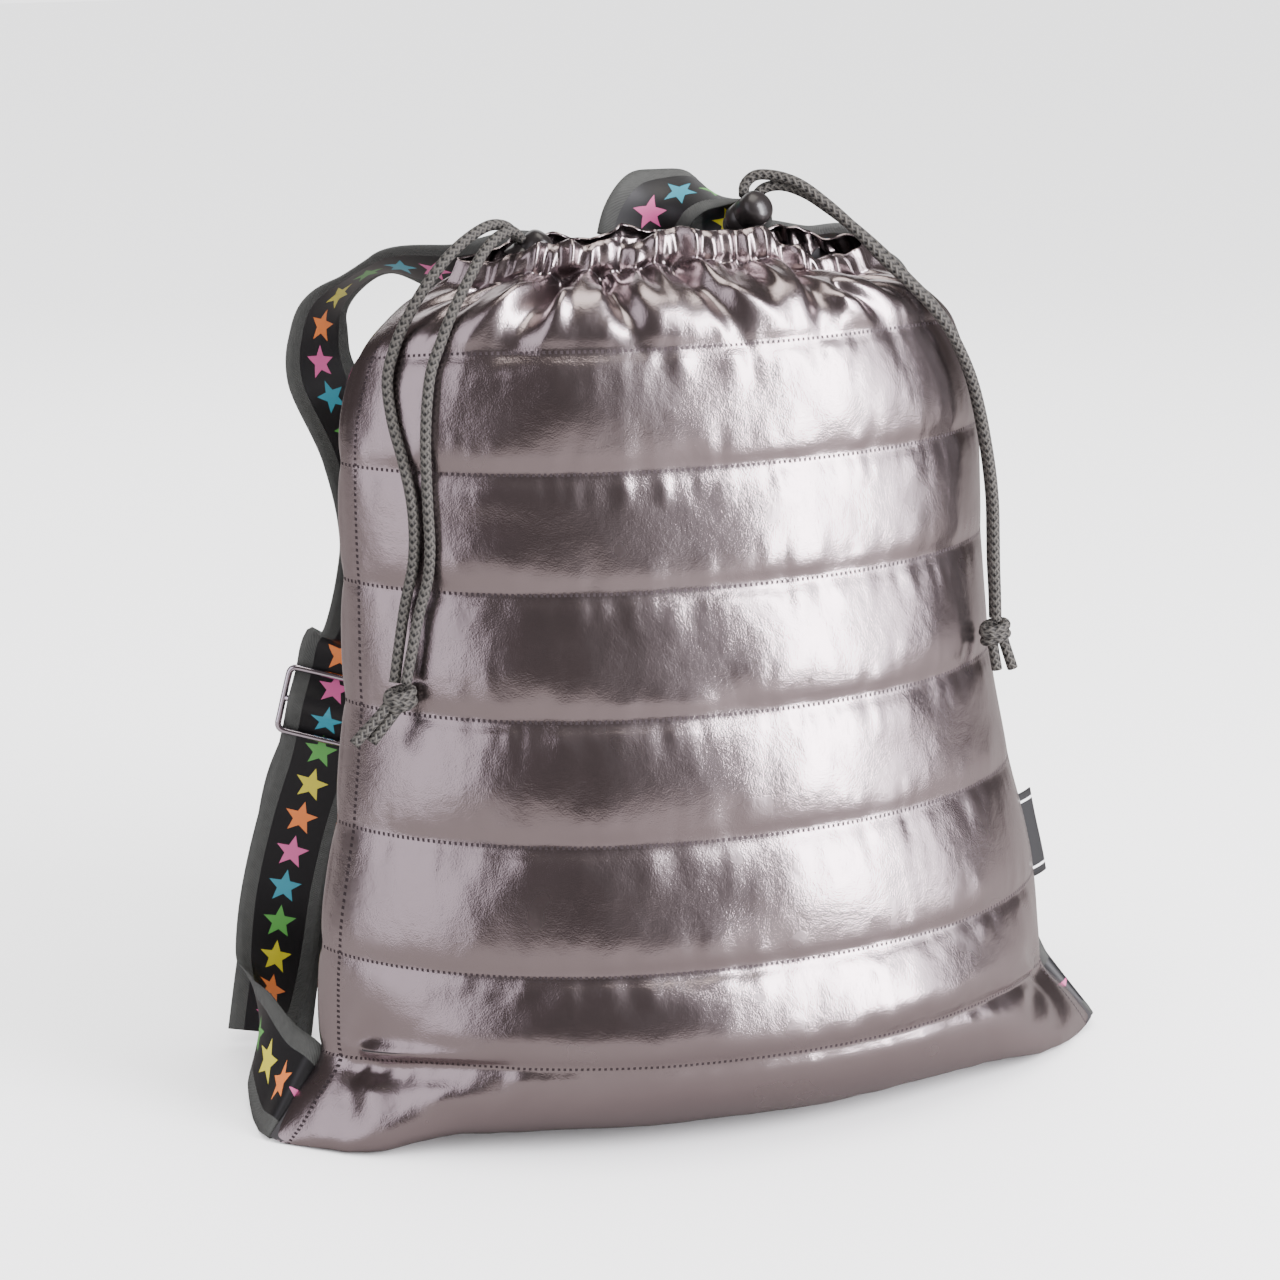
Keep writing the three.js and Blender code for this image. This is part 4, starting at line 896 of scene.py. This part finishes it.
# The foot and the carry loop keep millimetres, and the loop is measured from its left foot.
FOOT_ACROSS = (-0.848, -0.005, 0.529)
FOOT = [((31.3, 79.3, 329.2), FOOT_ACROSS), ((41.5, 73.6, 345.4), FOOT_ACROSS)]
HANDLE_FOOT = (-1, 67.4, 359.5)
HANDLE_ROUTE = [
    (0, 0, 0, (1, 0, 0)), (3, 0.2, 9, (0.97, -0.08, -0.2)), (8, -0.5, 15.5, (0.88, -0.35, -0.3)),
    (16, -1, 20.5, (0.5, -0.8, -0.3)), (27, -1.5, 23, (0.1, -0.94, -0.34)),
    (36, -1, 20, (0.3, -0.9, -0.25)), (42, 0, 12, (0.8, -0.5, 0)), (43, 0, 0, (1, 0, 0)),
]


def mark(row, side):
    """A station on one side: its place and the direction across the webbing."""
    x, y, z, (ax, ay, az) = row
    return (np.array([side * x * HALF, y * BAG_DEPTH, z * BAG_HEIGHT]),
            unit(np.array([side * ax, ay, az], float)))


def slider_frame(side):
    """The slider's middle, with its directions across, down the strap and forward from it."""
    point, across = mark(SLIDER_AT, side)
    down = unit(np.array([-side * SLIDER_LEAN, 0, -1.0]))
    across = unit(across - down * across.dot(down))
    out = np.cross(across, down)
    if out[1] > 0:
        out = -out
    return point, across, down, out


BAR_HALF = SLIDER_BAR / 2
SLOT_MIDDLE = BAR_HALF + SLIDER_SLOT / 2
END_BAR = SLIDER_BAR + SLIDER_SLOT
FIRST_LAYER = SLIDER_THICK / 2 + SEAT_GAP + WEBBING_THICK / 2
NEXT_LAYER = FIRST_LAYER + WEBBING_THICK + SEAT_GAP
# How far the strap's sewn end goes past the ear's edge and behind its seam.
SEAM_TUCK = 2.0
BEHIND_SEAM = 1.6


def slider_stations(side, spots):
    """Stations at distances down the strap and forward from the slider's middle."""
    point, across, down, out = slider_frame(side)
    return [(point + down * a + out * b, across) for a, b in spots]


def corner_stations(side):
    """The strap's end along the ear's edge, and then tucked into its seam."""
    low, high = (np.array([side * half * HALF, lean * BAG_DEPTH, at * BAG_HEIGHT])
                 for at, half, lean in (SIDE_SEAM[0], SIDE_SEAM[2]))
    across = unit(high - low)
    away = -side * np.cross((0, 1, 0), across)
    if away[0] * side < 0:
        away = -away
    middle = (low + high) / 2
    point = middle + away * (SEAT_GAP + WEBBING_THICK)
    point[1] = middle[1] + WEBBING_THICK
    tucked = middle - away * SEAM_TUCK + np.array([0, BEHIND_SEAM, 0])
    return [(point, across), (tucked, across)]


def strap_marks(side):
    foot = [(np.array([side * p[0], p[1], p[2]]), unit(np.array([side * a[0], a[1], a[2]])))
            for p, a in FOOT]
    return (foot + [mark(row, side) for row in STRAP_TOP]
            + slider_stations(side, [
                (-END_BAR - 12, -FIRST_LAYER - 0.6), (-END_BAR - BAR_HALF, -FIRST_LAYER),
                (-END_BAR + BAR_HALF, -FIRST_LAYER), (-SLOT_MIDDLE, 0.6), (-BAR_HALF - 0.6, NEXT_LAYER),
                (BAR_HALF + 0.6, NEXT_LAYER), (SLOT_MIDDLE, 0.6), (END_BAR - BAR_HALF, -FIRST_LAYER),
                (END_BAR + BAR_HALF, -FIRST_LAYER), (END_BAR + 12, -FIRST_LAYER - 0.6)])
            + [mark(row, side) for row in STRAP_BOTTOM] + corner_stations(side))


def tail_marks(side):
    hook = slider_stations(side, [
        (BAR_HALF, FIRST_LAYER), (-BAR_HALF, FIRST_LAYER), (-BAR_HALF - 1.3, 1.2),
        (-BAR_HALF - 1.3, -1.2), (-BAR_HALF, -FIRST_LAYER), (BAR_HALF, -FIRST_LAYER - 0.9),
        (SLOT_MIDDLE + 2, -NEXT_LAYER - 0.7), (END_BAR + 6, -NEXT_LAYER - 1.6)])
    return hook + [mark(row, side) for row in TAIL_ROUTE]


def band_piece(name, marks, offset, step=1.5):
    """Webbing swept along marks, with a flat map in metres: across, and down from offset."""
    knots = np.array([m[0] for m in marks])
    turn = np.array([m[1] for m in marks])
    fine = np.linspace(0, 1, 60 * len(marks))
    rough = catmull(knots, fine)
    run = run_along(rough)
    wanted = np.linspace(0, run[-1], int(run[-1] / step) + 1)
    path = each_axis(wanted, run, rough)
    knot_run = np.interp(np.arange(len(marks)) / (len(marks) - 1), fine, run)
    across = each_axis(wanted, knot_run, turn)
    for _ in range(6):
        across[1:-1] = (across[:-2] + across[1:-1] + across[2:]) / 3
    ahead = unit(np.gradient(path, axis=0))
    across = unit(across - ahead * (across * ahead).sum(1, keepdims=True))
    face = np.cross(ahead, across)
    cells = 12
    share = np.linspace(-1, 1, cells + 1)
    half = WEBBING_WIDTH / 2
    thick = WEBBING_THICK / 2 * np.where(np.abs(share) > 0.99, 0.55, 1.0)
    points, uv = [], []
    for sign in (1, -1):
        for j in range(cells + 1):
            s = share[j] if sign > 0 else share[cells - j]
            t = thick[j]
            points.append(path + across * (s * half) + face * (sign * t))
            uv.append(np.stack([np.full(len(path), s * half / 1000),
                                (wanted + offset) / 1000], axis=1))
    grid = np.stack(points, axis=1)
    faces = ring_faces(len(path), 2 * (cells + 1), True)
    obj = mesh_object(name, place(settle(grid.reshape(-1, 3))), faces)
    set_uv(obj, np.stack(uv, axis=1).reshape(-1, 2))
    mesh = bmesh.new()
    mesh.from_mesh(obj.data)
    bmesh.ops.recalc_face_normals(mesh, faces=mesh.faces)
    mesh.to_mesh(obj.data)
    mesh.free()
    return obj


def slider_piece(name, side):
    """A loop of round wire with a bar across its middle."""
    point, across, down, _ = slider_frame(side)
    wide = (WEBBING_WIDTH + 1 + SLIDER_BAR) / 2
    corner = 3.0
    right, top = wide - corner, END_BAR - corner
    outline = []
    for cx, cz, start in ((right, top, 0), (-right, top, 90), (-right, -top, 180),
                          (right, -top, 270)):
        for angle in np.radians(start + np.linspace(0, 90, 7)):
            outline.append((cx + corner * math.cos(angle), cz + corner * math.sin(angle)))
    outline.append(outline[0])
    outline = np.array(outline)
    path, _ = curved_path(point + outline[:, :1] * across + outline[:, 1:] * down, 1.2)
    bar = np.linspace(-wide, wide, 12)[:, None] * across + point
    wire = SLIDER_THICK / 2 + 0.2
    loop = tube(name, path, wire, 12, capped=False)
    return join([loop, tube(name + "_bar", bar, wire, 12)], name)


# Where each band's row of stars starts, in millimetres.
STRAP_STARS, TAIL_STARS, HANDLE_STARS = 20.1, 9.0, -7.0

for side, label in ((-1, "left"), (1, "right")):
    strap = band_piece("webbing_strap_" + label, strap_marks(side), STRAP_STARS)
    finish_piece(strap, WEBBING, "bag", "shoulder_strap_" + label)
    tail = band_piece("webbing_tail_" + label, tail_marks(side), TAIL_STARS)
    finish_piece(tail, WEBBING, "bag", "strap_tail_" + label)
    slider = slider_piece("wire_slider_" + label, side)
    finish_piece(slider, METAL, "bag", "slider_" + label)

handle_marks = [(np.array(HANDLE_FOOT) + np.array(row[:3]), unit(np.array(row[3], float)))
                for row in HANDLE_ROUTE]
handle = band_piece("webbing_handle", handle_marks, HANDLE_STARS)
finish_piece(handle, WEBBING, "bag", "carry_handle")

# Cord locks: the middle of each and the direction of its domed end.
DOME_RISE = 5
LOCKS = {"left": ((-60, 34, 363.5), (0.81, 0, 0.58)), "right": ((38, 32, 376), (0.3, -0.75, 0.55))}
DOME_END = LOCK_LENGTH * 0.55
MOUTH_END = DOME_END - LOCK_LENGTH


def turned(name, profile, middle, axis, sides=40):
    """A solid of revolution about axis, from a profile of radius and place along it."""
    profile = np.array(profile, float)
    angle = np.linspace(0, 2 * np.pi, sides, endpoint=False)
    ring = np.stack([profile[:, None, 0] * np.cos(angle), profile[:, None, 0] * np.sin(angle),
                     np.repeat(profile[:, 1:2], sides, axis=1)], axis=-1)
    quat = Vector(axis).to_track_quat("Z", "Y").to_matrix()
    points = ring.reshape(-1, 3) @ np.array(quat).T + np.array(middle)
    return mesh_object(name, place(points), ring_faces(len(profile), sides, False))


for label, (middle, axis) in LOCKS.items():
    dome = [(LOCK_RADIUS * math.sin(a), DOME_END - DOME_RISE + DOME_RISE * math.cos(a))
            for a in np.linspace(0.02, math.pi / 2, 12)]
    barrel = dome + [(LOCK_RADIUS, -1.2), (LOCK_RADIUS - 0.35, -1.5), (LOCK_RADIUS - 0.35, -2.1),
                     (LOCK_RADIUS, -2.4), (LOCK_RADIUS, MOUTH_END + 0.6), (LOCK_RADIUS - 0.5, MOUTH_END),
                     (LOCK_BORE + 0.4, MOUTH_END), (LOCK_BORE + 0.4, MOUTH_END + 4)]
    piece = turned("lock_body_" + label, barrel[::-1], middle, axis)
    finish_piece(piece, PLASTIC, "bag", "lock_barrel_" + label)
    outer = MOUTH_END - BUTTON_REACH
    plunger = [(0.05, outer), (LOCK_BORE * 0.6, outer + 0.15), (LOCK_BORE * 0.85, outer + 0.7),
               (LOCK_BORE, outer + 2), (LOCK_BORE, MOUTH_END + 3)]
    piece = turned("lock_press_" + label, plunger, middle, axis)
    finish_piece(piece, PLASTIC, "button_" + label, "lock_button_" + label)


# Side label: its ends on the seam as shares of the height, its half length, where it runs to on
# either side of the seam, and its rows and columns of points.
LABEL_ENDS = (0.19, 0.295)
LABEL_HALF = 19.5
LABEL_REACH = (-0.6, 11.6)
LABEL_GRID = (14, 6)


def label_piece():
    """Two faces of the folded label, joined round their edge."""
    low, high = (np.array([hermite(SIDE_SEAM, 1, np.array([at]))[0] * HALF,
                           hermite(SIDE_SEAM, 2, np.array([at]))[0] * BAG_DEPTH, at * BAG_HEIGHT])
                 for at in LABEL_ENDS)
    up = unit(high - low)
    out = np.array([1, 0.35, 0.0])
    out = unit(out - up * out.dot(up))
    face = np.cross(up, out)
    middle = (low + high) / 2
    rows, columns = LABEL_GRID
    count = rows * columns
    points, uv = [], []
    for sign in (1, -1):
        for z in np.linspace(-LABEL_HALF, LABEL_HALF, rows):
            for x in np.linspace(*LABEL_REACH, columns):
                curl = 0.02 * x * x + 0.5 * math.sin(z / 9)
                points.append(middle + up * z + out * x + face * (curl + sign * 0.4))
                uv.append((x / 1000, z / 1000))
    quads = [tuple(q) for q in grid_faces(LABEL_GRID, False)]
    quads += [tuple(q + count) for q in grid_faces(LABEL_GRID, True)]
    edge = (list(range(columns)) + [columns * k + columns - 1 for k in range(1, rows)]
            + [count - 1 - i for i in range(1, columns)]
            + [columns * k for k in range(rows - 2, 0, -1)])
    quads += [(a, a + count, b + count, b) for a, b in zip(edge, edge[1:] + edge[:1])]
    obj = mesh_object("woven_tag", place(points), quads)
    set_uv(obj, uv)
    return obj


finish_piece(label_piece(), LABEL, "bag", "side_label")

# Floor, lights and world.
FLOOR_HALF, FLOOR_LEVEL = 6, -0.0005
floor = mesh_object("floor", [(x * FLOOR_HALF, y * FLOOR_HALF, FLOOR_LEVEL) for x, y in
                              ((-1, -1), (1, -1), (1, 1), (-1, 1))], [(0, 1, 2, 3)])
floor.data.materials.append(floor_material())


def softbox(name, spot, size, power, colour):
    data = bpy.data.lights.new(name, "AREA")
    data.shape = "RECTANGLE"
    data.size, data.size_y = size
    data.energy = power
    data.color = colour
    lamp = bpy.data.objects.new(name, data)
    bpy.context.scene.collection.objects.link(lamp)
    lamp.location = spot
    lamp.rotation_euler = (Vector(spot) - LIT_POINT).to_track_quat("Z", "Y").to_euler()


# Every light faces this point. Each has its place, its width and height, its power and its colour.
LIT_POINT = Vector((0, 0, 0.2))
LIGHTS = [
    ("left_box", (-1.7, -0.45, 0.75), (1.5, 1.9), 16, (0.95, 0.90, 1.0)),
    ("right_box", (1.02, -1.22, 0.7), (0.56, 2.0), 100, (0.97, 0.95, 1.0)),
    ("right_fill", (1.42, -0.78, 0.7), (0.4, 1.9), 14, (0.95, 0.92, 1.0)),
    ("top_box", (0.1, -0.1, 1.7), (1.0, 0.9), 12, (1.0, 0.95, 0.88)),
    ("back_box", (0.3, 1.5, 1.1), (1.6, 1.0), 10, (1, 1, 1)),
]
for light in LIGHTS:
    softbox(*light)

# The studio is white to the eye and to the floor, and dim in reflections.
world = bpy.data.worlds.new("world")
bpy.context.scene.world = world
world.use_nodes = True
tree = world.node_tree
white = tree.nodes["Background"]
white.inputs["Color"].default_value = (0.95, 0.95, 0.96, 1)
white.inputs["Strength"].default_value = 2.8
dim = tree.nodes.new("ShaderNodeBackground")
dim.inputs["Color"].default_value = (0.20, 0.17, 0.165, 1)
dim.inputs["Strength"].default_value = 0.6
ray = tree.nodes.new("ShaderNodeLightPath")
mix = tree.nodes.new("ShaderNodeMixShader")
tree.links.new(ray.outputs["Is Glossy Ray"], mix.inputs[0])
tree.links.new(white.outputs[0], mix.inputs[1])
tree.links.new(dim.outputs[0], mix.inputs[2])
tree.links.new(mix.outputs[0], tree.nodes["World Output"].inputs["Surface"])
